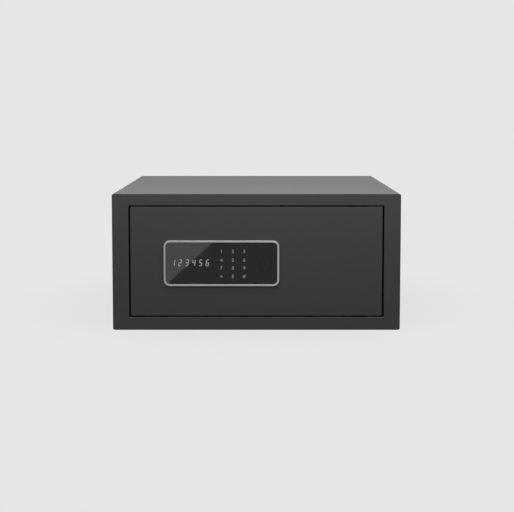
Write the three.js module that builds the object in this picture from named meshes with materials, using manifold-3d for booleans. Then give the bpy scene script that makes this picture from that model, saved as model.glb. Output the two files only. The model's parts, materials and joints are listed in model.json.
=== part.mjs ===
// A low, wide electronic safe for a laptop and papers.
// A folded steel body, a flush door on concealed pins, and a motor-driven bolt work behind a touch keypad.
// Millimetres. X to the right, Y to the rear, Z up. The origin is under the middle of the whole object.
// Inside the assembly group Y is the depth behind the front plane of the body.

import * as THREE from 'three';
import { mergeVertices } from 'three/addons/utils/BufferGeometryUtils.js';
import Module from 'manifold-3d';

const wasm = await Module();
wasm.setup();

// Fits shared by all pieces
const seatGap = 0.3; // between pieces that are fixed to each other
const slideGap = 0.5; // round pieces that slide
const pinFit = 0.15; // round a pin that turns or is pressed in
const overrun = 5; // how far a cutter runs past the faces that it cuts

// Body
const bodyWidth = 420;
const bodyHeight = 200;
const bodyDepth = 370;
const bodySheet = 2;
const bendRadius = 3;
const frontEdgeShare = 0.8; // radius of the front edges, as a share of the bend radius
const frameSide = 24;
const frameTop = 17;
const frameBottom = 19;

// Door leaf
const doorSideGap = 2.5;
const doorEndGap = 2;
const doorRecess = 0.4;
const doorThickness = 4;
const doorCornerRadius = 1.5;
const doorEdgeBevel = 0.5;

// Jamb: the folded lining of the opening, with the stop that the door shuts against
const jambSheet = 2;
const stopDepth = 7;
const stopWidth = 9;
const jambDepth = 42;
const hingePocketWidth = 42;
const hingePocketDepth = 29;

// Hinges: a fixed pin at each end of the door, turning in a flanged bush
const hingeInset = 16;
const hingeDepth = 8.5;
const pinRadius = 3;
const pinReach = 11; // into the hinge block
const pinHold = 14; // inside the door pan
const bushWall = 1.5;
const bushLength = 6.7;
const bushFlangeRadius = 6.5;
const bushFlange = 1.2;
const hingeBlockWidth = 26;
const hingeBlockFront = 6;
const cleatWidth = 14;
const cleatDepth = 9;

// Door spring: a torsion coil round the upper pin
const springWire = 1.2;
const springRadius = 4.7;
const springPitch = 1.75;
const springTurns = 3;
const springPocketRadius = 7;

// Door pan and its rear cover
const panSheet = 1.2;
const panInsetFree = 10;
const panInsetHinge = 5;
const panInsetEnd = 9;
const panDepth = 36.2;
const panLip = 9;
const coverInset = 1;
const coverScrewInset = 5;
const screwRadius = 1.5;
const screwHeadRadius = 3;
const screwHead = 1.6;
const screwLength = 5;

// Keypad trim and fascia
const keypadInset = 48.1; // from the free edge of the door to the trim
const keypadDrop = 2.55; // from the middle of the door down to the middle of the trim
const keypadWidth = 168.6;
const keypadHeight = 67.2;
const keypadRadius = 9;
const trimBand = 3.1;
const trimProud = 2.2;
const trimEdgeBevel = 0.8;
const trimInnerChamfer = 1.4;
const fasciaDrop = 0.9; // fascia face behind the crest of the trim
const fasciaRear = 0.1;

// Keypad housing, board and what they carry
const apertureWidth = 126;
const apertureHeight = 52;
const apertureOffsetX = -17.5;
const housingDepth = 12.4;
const housingWall = 1.5;
const housingFlangeWidth = 5;
const housingFlange = 1.5;
const boardSheet = 1.6;
const keypadBoardDepth = 5;
const keypadBoardMargin = 1.2;
const boardPostRadius = 2.5;
const displayWidth = 58;
const displayHeight = 20;
const displayInset = 43; // from the middle of the keypad to the left
const displayThickness = 3.6;
const buzzerRadius = 6;
const buzzerThickness = 3;
const buzzerOffsetX = 40;
const ribbonWidth = 12;
const ribbonThickness = 0.8;
const ribbonInset = 17.3; // from the middle of the keypad to the right
const ribbonSlotGap = 1;

// Override lock: a key cylinder behind a snap-in cover in the fascia
const overrideInset = 64.3; // from the middle of the keypad to the right
const overrideDrop = 1.8;
const overrideCoverRadius = 9;
const overrideBodyRadius = 8;
const overrideHeadRadius = 9;
const overrideHead = 1.2;
const overrideBodyDepth = 18;
const overridePlugRadius = 5;
const keywayWidth = 1.6;
const keywayHeight = 7;
const keywayDepth = 12;
const overrideNutRadius = 11;
const overrideNut = 3;
const camLength = 18;
const camWidth = 6;
const camThickness = 1.8;
const camRestAngle = Math.PI / 4; // from upright, in radians

// Bolt work
const boltRadius = 8;
const boltDepth = 25;
const boltInset = 38; // from each end of the door to the axis of its bolt
const boltThrow = 20;
const boltBody = 55;
const boltTipChamfer = 2;
const boltTipProud = 0.5;
const boltSpigotRadius = 4;
const boltHeadRadius = 7;
const boltHead = 2;
const boltGuideWall = 1.4;
const boltGuideLength = 12;
const boltWindowGap = 1.8;
const strikeThickness = 3;
const strikeMargin = 20;
const strikeFront = 14;
const carriageSheet = 1.9;
const carriageWidth = 24;
const carriageMargin = 11;
const earHalfHeight = 10;
const earDepth = 16;
const armTop = 15;
const guideOffsets = [-41, 26]; // along X from the gear axis
const guideRise = 10;
const guideRadius = 2.5;
const guideHeadRadius = 4;
const guideHead = 1.5;
const lugWidth = 4;
const lugHeight = 6;
const armEndMargin = 4;
const fingerHeight = 6;

// Chassis
const chassisSheet = 1.5;
const chassisDepth = 13;
const chassisLockMargin = 31; // beyond the axis of the override lock
const chassisEnd = 8;
const standoffRadius = 4;
const standoffInset = 8;
const standoffDrop = 8;

// Gear train
const rackModule = 1;
const rackPinionTeeth = 18;
const driveModule = 0.8;
const driveGearTeeth = 42;
const motorPinionTeeth = 14;
const pressureAngle = (20 * Math.PI) / 180;
const addendumShare = 0.8;
const dedendumShare = 1.25;
const backlash = 0.3;
const driveGearReach = 54.8; // from the edge of the carriage to the gear axis
const driveGearDrop = 17; // from the middle of the door down to the gear axis
const driveGearFace = 2.7;
const rackPinionFace = 4;
const gearAxleRadius = 2;
const axleHead = 1;

// Motor
const motorRadius = 12;
const motorLength = 12;
const motorShaftRadius = 1;
const motorBracketSheet = 1.2;
const motorBracketMargin = 4;
const motorPostRadius = 2.5;

// Limit switch
const switchWidth = 13;
const switchHeight = 6.5;
const switchThickness = 6;
const switchLeverWidth = 3.5;
const switchLeverSheet = 0.8;
const switchArmGap = 3; // below the arm of the carriage

// Control board
const controlWidth = 80;
const controlReach = 33; // from the gear axis to the left
const controlRise = 12; // above the guide slots
const controlInset = 1.8; // below the top of the chassis
const controlLift = 3;
const chipSize = 14;
const chipHeight = 2;
const relayWidth = 19;
const relayDepth = 9;
const relayHeight = 12;
const connectorWidth = 12;
const connectorHeight = 6;
const partInset = 6;

// Batteries
const cellRadius = 7.1;
const cellLength = 50;
const cellPitch = 15;
const cellCount = 4;
const cellNubRadius = 2.6;
const cellNub = 1;
const contactSpace = 2;
const holderWall = 1.5;
const holderShare = 0.25; // its place in the room between the override lug and the hinge side
const lidLedge = 1.5;
const lidTongueWidth = 10;
const lidTongueDepth = 1.5;
const lidTongueSheet = 0.8;
const leadRadius = 1.2;
const leadClear = 7;
const leadStraight = 0.25; // share of its run that leaves each end straight

// Reset button
const resetInset = 32.5; // from the hinge side of the pan
const resetRise = 30; // above the bottom of the pan
const resetRadius = 3;
const resetLength = 8;
const resetProud = 1.5;
const resetCollarRadius = 5;
const resetCollar = 1.2;

// Anchor holes, plugs and mat
const anchorRadius = 5;
const anchorSpread = 240;
const anchorBaseDepth = 190;
const plugHeadRadius = 9;
const plugHead = 2;
const rearFlange = 15;
const matThickness = 2;
const matMargin = 4;
const matRadius = 6;
const bumperRadius = 2.6;
const bumperInset = 30;

// Facets
const cornerSteps = 4;
const roundSides = 24;
const smallSides = 12;
const nutSides = 6;
const coilSides = 6;
const coilStepsPerTurn = 8;
const leadSides = 8;
const leadSteps = 14;

// Places that follow from the sizes above
const frontY = (trimProud - bodyDepth) / 2;
const openX = bodyWidth / 2 - frameSide;
const openLow = frameBottom;
const openHigh = bodyHeight - frameTop;
const doorX = openX - doorSideGap;
const doorLow = openLow + doorEndGap;
const doorHigh = openHigh - doorEndGap;
const doorMidZ = (doorLow + doorHigh) / 2;
const doorRear = doorRecess + doorThickness;
const hingeX = doorX - hingeInset;
const innerLow = bodySheet + seatGap;
const innerHigh = bodyHeight - bodySheet - seatGap;
const panFront = doorRear + seatGap;
const panLeft = -doorX + panInsetFree;
const panRight = doorX - panInsetHinge;
const panLow = doorLow + panInsetEnd;
const panHigh = doorHigh - panInsetEnd;
const coverFront = panDepth + seatGap;
const coverRear = coverFront + panSheet;
const chassisRear = chassisDepth + chassisSheet;
const carriageFront = chassisRear + seatGap;
const carriageRear = carriageFront + carriageSheet;
const boltTipX = panLeft - boltTipProud;
const boltShoulderX = boltTipX + boltBody;
const carriageEdge = boltShoulderX + seatGap + carriageSheet;
const boltZs = [doorLow + boltInset, doorHigh - boltInset];
const rackPitchRadius = (rackModule * rackPinionTeeth) / 2;
const driveGearRadius = (driveModule * driveGearTeeth) / 2;
const motorPinionRadius = (driveModule * motorPinionTeeth) / 2;
const driveGearX = carriageEdge + driveGearReach;
const driveGearZ = doorMidZ - driveGearDrop;
const rackPitchZ = driveGearZ + rackPitchRadius;
const rackRootZ = rackPitchZ + dedendumShare * rackModule;
const guideX = guideOffsets.map((offset) => driveGearX + offset);
const guideZ = rackPitchZ + guideRise;
const motorX = driveGearX + driveGearRadius + motorPinionRadius;
const driveGearFront = carriageFront + rackPinionFace;
const driveGearRear = driveGearFront + driveGearFace;
const fasciaFront = fasciaDrop - trimProud;
const camFront = overrideBodyDepth + slideGap;
const keypadCentreX = keypadInset + keypadWidth / 2 - doorX;
const keypadCentreZ = doorMidZ - keypadDrop;
const displayCentreX = keypadCentreX - displayInset;
const ribbonX = keypadCentreX + ribbonInset;
const overrideX = keypadCentreX + overrideInset;
const overrideZ = keypadCentreZ - overrideDrop;
const lugRight = overrideX + camLength * Math.cos(camRestAngle) + lugWidth / 2;
const chassisLeft = panLeft + panSheet + seatGap;
const chassisRight = overrideX + chassisLockMargin;
const chassisLow = panLow + panSheet + chassisEnd;
const chassisHigh = panHigh - panSheet - chassisEnd;
const controlLeft = driveGearX - controlReach;
const controlLow = guideZ + controlRise;
const controlHigh = chassisHigh - controlInset;
const ribbonZ = controlLow + connectorHeight / 2;
const holderHalfWidth = cellLength / 2 + contactSpace;
const holderLeft = lugRight + holderShare * (panRight - lugRight);
const holderCentreX = holderLeft + holderWall + holderHalfWidth;
const holderCentreZ = doorMidZ;
const resetX = panRight - resetInset;
const resetZ = panLow + resetRise;
const anchorRearHeight = bodyHeight / 2;

// Finishes
function finish(color, roughness, metalness) {
  return new THREE.MeshStandardMaterial({ color, roughness, metalness });
}
const powderCoat = finish(0x3b3b3b, 0.55, 0.2);
const liningCoat = finish(0x2c2c2d, 0.6, 0.2);
const zincSteel = finish(0xb4b7ba, 0.35, 0.9);
const satinChrome = finish(0xc4c6c8, 0.25, 1);
const blackAcrylic = finish(0x161617, 0.08, 0);
const blackPlastic = finish(0x1d1e20, 0.5, 0);
const blackRubber = finish(0x151515, 0.8, 0);
const greyFelt = finish(0x4a4c50, 0.95, 0);
const greenBoard = finish(0x1d5a37, 0.5, 0);
const brass = finish(0xb59a55, 0.35, 0.9);
const whiteNylon = finish(0xdedcd2, 0.5, 0);
const cellWrap = finish(0x38618c, 0.4, 0.2);
const redPlastic = finish(0xa02420, 0.45, 0);
const springSteel = finish(0x8c9094, 0.35, 0.9);

// Solids
function solidOf(shape) {
  if (!shape.isBufferGeometry) return shape;
  const bare = shape.clone();
  bare.deleteAttribute('normal');
  bare.deleteAttribute('uv');
  const merged = mergeVertices(bare);
  return new wasm.Manifold(new wasm.Mesh({
    numProp: 3,
    vertProperties: new Float32Array(merged.attributes.position.array),
    triVerts: new Uint32Array(merged.index.array),
  }));
}

function join(first, ...others) {
  return others.reduce((whole, other) => whole.add(solidOf(other)), solidOf(first));
}

function cut(base, ...tools) {
  return tools.reduce((whole, tool) => whole.subtract(solidOf(tool)), solidOf(base));
}

function geometryOf(shape) {
  if (shape.isBufferGeometry) return shape;
  const { vertProperties, triVerts } = shape.getMesh();
  const geometry = new THREE.BufferGeometry();
  geometry.setAttribute('position', new THREE.BufferAttribute(vertProperties, 3));
  geometry.setIndex(new THREE.BufferAttribute(triVerts, 1));
  return geometry;
}

function block([x0, x1], [y0, y1], [z0, z1]) {
  const geometry = new THREE.BoxGeometry(x1 - x0, y1 - y0, z1 - z0);
  return geometry.translate((x0 + x1) / 2, (y0 + y1) / 2, (z0 + z1) / 2);
}

// The stretch of a cutter that runs past both faces of what it cuts
function past(from, to) {
  return [from - overrun, to + overrun];
}

// Round bars along each axis, from one end to the other, centred on the other two coordinates
function barX(radius, [x0, x1], [y, z], sides = roundSides) {
  const geometry = new THREE.CylinderGeometry(radius, radius, x1 - x0, sides);
  return geometry.rotateZ(-Math.PI / 2).translate((x0 + x1) / 2, y, z);
}

function barY(radius, [y0, y1], [x, z], sides = roundSides) {
  const geometry = new THREE.CylinderGeometry(radius, radius, y1 - y0, sides);
  return geometry.translate(x, (y0 + y1) / 2, z);
}

function barZ(radius, [z0, z1], [x, y], sides = roundSides) {
  const geometry = new THREE.CylinderGeometry(radius, radius, z1 - z0, sides);
  return geometry.rotateX(Math.PI / 2).translate(x, y, (z0 + z1) / 2);
}

function roundedOutline([x0, x1], [z0, z1], radius) {
  const corners = [
    [x1 - radius, z0 + radius, -Math.PI / 2],
    [x1 - radius, z1 - radius, 0],
    [x0 + radius, z1 - radius, Math.PI / 2],
    [x0 + radius, z0 + radius, Math.PI],
  ];
  const points = [];
  for (const [x, z, start] of corners) {
    for (let step = 0; step <= cornerSteps; step += 1) {
      const angle = start + (step / cornerSteps) * (Math.PI / 2);
      points.push(new THREE.Vector2(x + radius * Math.cos(angle), z + radius * Math.sin(angle)));
    }
  }
  return new THREE.Shape(points);
}

// An outline in X and Z given a thickness in Y
function slab(outline, [y0, y1], bevel = 0, bevelSegments = 1) {
  const geometry = new THREE.ExtrudeGeometry(outline, {
    depth: y1 - y0 - 2 * bevel,
    bevelEnabled: bevel > 0,
    bevelThickness: bevel,
    bevelSize: bevel,
    bevelOffset: -bevel,
    bevelSegments,
  });
  return geometry.rotateX(Math.PI / 2).translate(0, y1 - bevel, 0);
}

function turned(points, sides = roundSides) {
  return new THREE.LatheGeometry(points.map(([radius, along]) => new THREE.Vector2(radius, along)), sides);
}

function slotY(radius, [y0, y1], [x0, x1], z) {
  return join(
    barY(radius, [y0, y1], [x0, z]),
    barY(radius, [y0, y1], [x1, z]),
    block([x0, x1], [y0, y1], [z - radius, z + radius]),
  );
}

const model = new THREE.Group();
const assembly = new THREE.Group();
assembly.position.y = frontY;
model.add(assembly);

function piece(name, material, shape, [x, y, z] = [0, 0, 0]) {
  const mesh = new THREE.Mesh(geometryOf(shape), material);
  mesh.name = name;
  mesh.position.set(x, y, z);
  assembly.add(mesh);
}

// Body shell: one wrap whose front edges fold in to make the door frame, open at the rear
function makeShell() {
  const half = bodyWidth / 2;
  const wrap = slab(
    roundedOutline([-half, half], [0, bodyHeight], bendRadius),
    [0, bodyDepth + bendRadius], bendRadius * frontEdgeShare, cornerSteps,
  );
  const hollow = block(
    [-half + bodySheet, half - bodySheet], [bodySheet, bodyDepth + overrun],
    [bodySheet, bodyHeight - bodySheet],
  );
  const behind = block(
    [-bodyWidth, bodyWidth], [bodyDepth, bodyDepth + overrun], past(0, bodyHeight),
  );
  const opening = block([-openX, openX], [-overrun, bodySheet + overrun], [openLow, openHigh]);
  const anchors = [-1, 1].map((side) => (
    barZ(anchorRadius, [-overrun, bodySheet + overrun], [(side * anchorSpread) / 2, anchorBaseDepth])
  ));
  piece('cabinet_shell', powderCoat, cut(wrap, hollow, behind, opening, ...anchors));
}

// Back panel: a shallow pan set into the rear of the shell
function makeBackPanel() {
  const half = bodyWidth / 2 - bodySheet - seatGap;
  const pan = block([-half, half], [bodyDepth - rearFlange, bodyDepth], [innerLow, innerHigh]);
  const hollow = block(
    [-half + bodySheet, half - bodySheet],
    [bodyDepth - rearFlange - overrun, bodyDepth - bodySheet],
    [innerLow + bodySheet, innerHigh - bodySheet],
  );
  const anchors = [-1, 1].map((side) => barY(
    anchorRadius, [bodyDepth - rearFlange, bodyDepth + overrun],
    [(side * anchorSpread) / 2, anchorRearHeight],
  ));
  piece('back_panel', powderCoat, cut(pan, hollow, ...anchors));
}

// Jamb: sleeve behind the frame, a stop on three sides, and a deeper sleeve that takes the bolts
function makeJamb() {
  const grown = (size) => size + jambSheet;
  const front = bodySheet + seatGap;
  const deepX = -openX + stopWidth;
  const deepLow = openLow + stopWidth;
  const deepHigh = openHigh - stopWidth;
  const pocketX = openX - hingePocketWidth;
  const outer = join(
    block([-grown(openX), grown(openX)], [front, grown(stopDepth)], [openLow - jambSheet, grown(openHigh)]),
    block([deepX - jambSheet, grown(openX)], [stopDepth, jambDepth], [deepLow - jambSheet, grown(deepHigh)]),
    block([pocketX - jambSheet, grown(openX)], [front, grown(hingePocketDepth)],
      [openLow - jambSheet, grown(openHigh)]),
  );
  const inner = [
    block([-openX, openX], [-overrun, stopDepth], [openLow, openHigh]),
    block([deepX, openX], [-overrun, jambDepth + overrun], [deepLow, deepHigh]),
    block([pocketX, openX], [-overrun, hingePocketDepth], [openLow, openHigh]),
  ];
  const boltWindows = boltZs.map((z) => boltWindow(past(deepX - jambSheet, deepX), z));
  const bushHole = barZ(
    pinRadius + bushWall + pinFit + seatGap, past(openLow - jambSheet, openHigh + jambSheet),
    [hingeX, hingeDepth],
  );
  piece('jamb_frame', liningCoat, cut(outer, ...inner, ...boltWindows, bushHole));

  const strikeRight = deepX - jambSheet - seatGap;
  const strike = block(
    [strikeRight - strikeThickness, strikeRight], [boltDepth - strikeFront, boltDepth + strikeFront],
    [boltZs[0] - strikeMargin, boltZs[1] + strikeMargin],
  );
  const strikeWindows = boltZs.map((z) => boltWindow(past(strikeRight - strikeThickness, strikeRight), z));
  piece('strike_plate', zincSteel, cut(strike, ...strikeWindows));
}

// Square window that a bolt shoots through
function boltWindow(spanX, z) {
  const half = boltRadius + boltWindowGap;
  return block(spanX, [boltDepth - half, boltDepth + half], [z - half, z + half]);
}

// Hinge blocks, bushes, pins and the spring; rise is +1 at the top of the door and -1 at the bottom
function makeHinge(where, rise) {
  const jambFace = rise > 0 ? openHigh : openLow;
  const shellFace = rise > 0 ? innerHigh : innerLow;
  const panFace = rise > 0 ? panHigh : panLow;
  const span = (from, to) => [Math.min(from, to), Math.max(from, to)];
  const blockFace = jambFace + rise * (jambSheet + seatGap);
  const bushOuter = pinRadius + pinFit + bushWall;
  const bushTop = blockFace + rise * (bushLength - jambSheet);
  const flangeFace = jambFace - rise * seatGap;
  const axis = [hingeX, hingeDepth];

  const body = block(
    [hingeX - hingeBlockWidth / 2, hingeX + hingeBlockWidth / 2],
    [hingeDepth - hingeBlockFront, hingePocketDepth], span(blockFace, shellFace),
  );
  const bore = barZ(bushOuter + seatGap, span(blockFace - rise * overrun, shellFace + rise * overrun), axis);
  const pocket = barZ(springPocketRadius, span(bushTop + rise * seatGap, shellFace + rise * overrun), axis);
  piece(`hinge_block_${where}`, zincSteel, rise > 0 ? cut(body, bore, pocket) : cut(body, bore));

  const flange = barZ(bushFlangeRadius, span(flangeFace - rise * bushFlange, flangeFace), axis);
  const barrel = barZ(bushOuter, span(flangeFace - rise * bushFlange, bushTop), axis);
  const hole = barZ(pinRadius + pinFit, span(flangeFace - rise * overrun, bushTop + rise * overrun), axis);
  piece(`hinge_bush_${where}`, blackPlastic, cut(join(flange, barrel), hole));

  piece(`hinge_pin_${where}`, zincSteel,
    barZ(pinRadius, span(panFace - rise * pinHold, jambFace + rise * (jambSheet + pinReach)), axis));

  if (rise > 0) {
    const low = bushTop + seatGap + springWire / 2 + seatGap;
    piece('door_spring', springSteel, makeCoil(low), [hingeX, hingeDepth, 0]);
  }
}

function makeCoil(low) {
  const steps = coilStepsPerTurn * springTurns;
  const points = Array.from({ length: steps + 1 }, (_, step) => {
    const angle = (2 * Math.PI * step) / coilStepsPerTurn;
    const rise = (springPitch * step) / coilStepsPerTurn;
    return new THREE.Vector3(springRadius * Math.cos(angle), springRadius * Math.sin(angle), low + rise);
  });
  return wireAlong(new THREE.CatmullRomCurve3(points), springWire / 2, coilSides, steps);
}

// Round wire along a curve
function wireAlong(extrudePath, radius, sides, steps) {
  const section = new THREE.Shape(Array.from({ length: sides }, (_, side) => {
    const angle = (2 * Math.PI * side) / sides;
    return new THREE.Vector2(radius * Math.cos(angle), radius * Math.sin(angle));
  }));
  return new THREE.ExtrudeGeometry(section, { steps, extrudePath, bevelEnabled: false });
}

// Door leaf: plate with the keypad aperture and the hole for the override lock
function makeDoorPlate() {
  const leaf = slab(
    roundedOutline([-doorX, doorX], [doorLow, doorHigh], doorCornerRadius),
    [doorRecess, doorRear], doorEdgeBevel,
  );
  const [apertureX, apertureZ] = apertureSpan(0);
  const aperture = block(apertureX, [-overrun, doorRear + overrun], apertureZ);
  const lockHole = barY(overrideBodyRadius + seatGap, [-overrun, doorRear + overrun], [overrideX, overrideZ]);
  const counterbore = barY(
    overrideHeadRadius + seatGap, [-overrun, doorRecess + overrideHead + seatGap], [overrideX, overrideZ],
  );
  piece('door_plate', powderCoat, cut(leaf, aperture, lockHole, counterbore));
}

function apertureSpan(growth) {
  const x = keypadCentreX + apertureOffsetX;
  const halfWidth = apertureWidth / 2 + growth;
  const halfHeight = apertureHeight / 2 + growth;
  return [[x - halfWidth, x + halfWidth], [keypadCentreZ - halfHeight, keypadCentreZ + halfHeight]];
}

// Door pan: folded box that holds the lock, with a lip for the cover and a cleat for each hinge pin
function makeDoorPan() {
  const box = block([panLeft, panRight], [panFront, panDepth], [panLow, panHigh]);
  const hollow = block(
    [panLeft + panSheet, panRight - panSheet], [panFront - overrun, panDepth - panSheet],
    [panLow + panSheet, panHigh - panSheet],
  );
  const mouth = block(
    [panLeft + panLip, panRight - panLip], [panFront, panDepth + overrun],
    [panLow + panLip, panHigh - panLip],
  );
  const cleats = [[panLow, panLow + pinHold], [panHigh - pinHold, panHigh]].map((span) => (
    block([hingeX - cleatWidth / 2, panRight - panSheet / 2], [panFront, hingeDepth + cleatDepth], span)
  ));
  const pinHoles = barZ(pinRadius + pinFit, past(panLow, panHigh), [hingeX, hingeDepth]);
  const guideHoleRadius = boltRadius + slideGap / 2 + boltGuideWall + seatGap;
  const guideHoles = boltZs.map((z) => barX(guideHoleRadius, past(panLeft, panLeft), [boltDepth, z]));
  const screwHoles = coverScrewPlaces().map(([x, z]) => (
    barY(screwRadius + seatGap, past(panDepth - panSheet, panDepth), [x, z], smallSides)
  ));
  const folded = join(cut(box, hollow, mouth), ...cleats);
  piece('door_pan', liningCoat, cut(folded, pinHoles, ...guideHoles, ...screwHoles));
}

function coverScrewPlaces() {
  const xs = [panLeft + coverScrewInset, panRight - coverScrewInset];
  const zs = [panLow + coverScrewInset, panHigh - coverScrewInset];
  return xs.flatMap((x) => zs.map((z) => [x, z]));
}

// Rear cover of the door pan, with the battery opening and the reset hole
function makeInnerCover() {
  const plate = slab(
    roundedOutline([panLeft + coverInset, panRight - coverInset], [panLow + coverInset, panHigh - coverInset],
      doorCornerRadius),
    [coverFront, coverRear],
  );
  const [lidX, lidZ] = batterySpan(seatGap);
  const batteryHole = block(lidX, past(coverFront, coverRear), lidZ);
  const resetHole = barY(resetRadius + seatGap, past(coverFront, coverRear), [resetX, resetZ]);
  const screwHoles = coverScrewPlaces().map(([x, z]) => (
    barY(screwRadius + seatGap, past(coverFront, coverRear), [x, z], smallSides)
  ));
  piece('inner_cover', liningCoat, cut(plate, batteryHole, resetHole, ...screwHoles));

  const tip = coverRear + seatGap - screwLength;
  coverScrewPlaces().forEach(([x, z], number) => {
    const screw = join(
      barY(screwRadius, [tip, coverRear + seatGap + screwHead / 2], [0, 0], smallSides),
      barY(screwHeadRadius, [coverRear + seatGap, coverRear + seatGap + screwHead], [0, 0], smallSides),
    );
    piece(`cover_screw_${number + 1}`, zincSteel, screw, [x, 0, z]);
  });
}

// Keypad: trim ring, fascia, housing, board, display, buzzer and ribbon
function keypadOutline(inset) {
  const halfWidth = keypadWidth / 2 - inset;
  const halfHeight = keypadHeight / 2 - inset;
  return roundedOutline(
    [keypadCentreX - halfWidth, keypadCentreX + halfWidth],
    [keypadCentreZ - halfHeight, keypadCentreZ + halfHeight],
    keypadRadius - inset,
  );
}

function makeKeypadFace() {
  const rear = doorRecess - seatGap;
  const ring = cut(
    slab(keypadOutline(0), [-trimProud, rear + trimEdgeBevel], trimEdgeBevel, 2),
    block([-doorX, doorX], [rear, rear + overrun], [0, bodyHeight]),
  );
  const window = slab(keypadOutline(trimBand), past(-trimProud, rear));
  const flare = new THREE.ExtrudeGeometry(keypadOutline(trimBand), {
    depth: overrun,
    bevelThickness: fasciaDrop,
    bevelSize: trimInnerChamfer,
    bevelSegments: 1,
  }).rotateX(Math.PI / 2).translate(0, -trimProud, 0);
  piece('keypad_trim', satinChrome, cut(ring, window, flare));

  const sheetSolid = slab(keypadOutline(trimBand + seatGap), [fasciaFront, fasciaRear]);
  const coverHole = barY(
    overrideCoverRadius + seatGap, past(fasciaFront, fasciaRear), [overrideX, overrideZ],
  );
  piece('keypad_fascia', blackAcrylic, cut(sheetSolid, coverHole));
  piece('override_cover', blackAcrylic, barY(overrideCoverRadius, [fasciaFront, fasciaRear], [0, 0]),
    [overrideX, 0, overrideZ]);
}

function makeKeypadHousing() {
  const [outerX, outerZ] = apertureSpan(-seatGap);
  const [flangeX, flangeZ] = apertureSpan(housingFlangeWidth);
  const [innerX, innerZ] = apertureSpan(-seatGap - housingWall);
  const shell = join(
    block(outerX, [doorRecess, housingDepth], outerZ),
    block(flangeX, [panFront, panFront + housingFlange], flangeZ),
  );
  const hollow = block(innerX, [-overrun, housingDepth - housingWall], innerZ);
  const boardRear = keypadBoardDepth + boardSheet;
  const postInset = boardPostRadius / 2;
  const posts = innerX.flatMap((x, right) => innerZ.map((z, top) => barY(
    boardPostRadius, [boardRear + seatGap, housingDepth - housingWall / 2],
    [x + (right ? -postInset : postInset), z + (top ? -postInset : postInset)], smallSides,
  )));
  const ribbonSlot = block(
    [ribbonX - ribbonWidth / 2 - ribbonSlotGap, ribbonX + ribbonWidth / 2 + ribbonSlotGap],
    [boardRear, housingDepth + overrun],
    [ribbonZ - ribbonSlotGap, ribbonZ + ribbonThickness + ribbonSlotGap],
  );
  piece('keypad_housing', blackPlastic, cut(join(cut(shell, hollow), ...posts), ribbonSlot));

  const [boardX, boardZ] = apertureSpan(-seatGap - housingWall - keypadBoardMargin);
  piece('keypad_board', greenBoard, block(boardX, [keypadBoardDepth, boardRear], boardZ));
  piece('display_module', blackPlastic, block(
    [displayCentreX - displayWidth / 2, displayCentreX + displayWidth / 2],
    [keypadBoardDepth - seatGap - displayThickness, keypadBoardDepth - seatGap],
    [keypadCentreZ - displayHeight / 2, keypadCentreZ + displayHeight / 2],
  ));
  piece('buzzer', blackPlastic, barY(
    buzzerRadius, [boardRear + seatGap, boardRear + seatGap + buzzerThickness],
    [keypadCentreX + apertureOffsetX - buzzerOffsetX, keypadCentreZ],
  ));
  piece('keypad_ribbon', blackPlastic, block(
    [ribbonX - ribbonWidth / 2, ribbonX + ribbonWidth / 2],
    [boardRear + seatGap, chassisRear + controlLift - seatGap], [ribbonZ, ribbonZ + ribbonThickness],
  ));
}

// Override lock: body and nut in the door plate, and the plug with its cam
function makeOverrideLock() {
  const front = doorRecess + seatGap / 2;
  const bore = barY(overridePlugRadius + pinFit, [-overrun, overrideBodyDepth + overrun], [0, 0]);
  const body = cut(join(
    barY(overrideBodyRadius, [front, overrideBodyDepth], [0, 0]),
    barY(overrideHeadRadius, [front, front + overrideHead], [0, 0]),
  ), bore);
  const place = [overrideX, 0, overrideZ];
  piece('override_lock_body', satinChrome, body, place);
  const nut = cut(
    barY(overrideNutRadius, [panFront, panFront + overrideNut], [0, 0], nutSides),
    barY(overrideBodyRadius + seatGap, [0, panFront + overrideNut + overrun], [0, 0]),
  );
  piece('override_lock_nut', zincSteel, nut, place);

  const plug = cut(
    barY(overridePlugRadius, [front + seatGap, camFront + camThickness / 2], [0, 0]),
    block(
      [-keywayWidth / 2, keywayWidth / 2], [-overrun, keywayDepth], [-keywayHeight / 2, keywayHeight / 2],
    ),
  );
  const cam = join(
    barY(overridePlugRadius + seatGap, [camFront, camFront + camThickness], [0, 0]),
    block([-camWidth / 2, camWidth / 2], [camFront, camFront + camThickness], [0, camLength]),
    barY(camWidth / 2, [camFront, camFront + camThickness], [0, camLength], smallSides),
  );
  const idleCam = geometryOf(cam).rotateY(-camRestAngle);
  piece('override_plug', brass, join(plug, idleCam), place);
}

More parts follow.
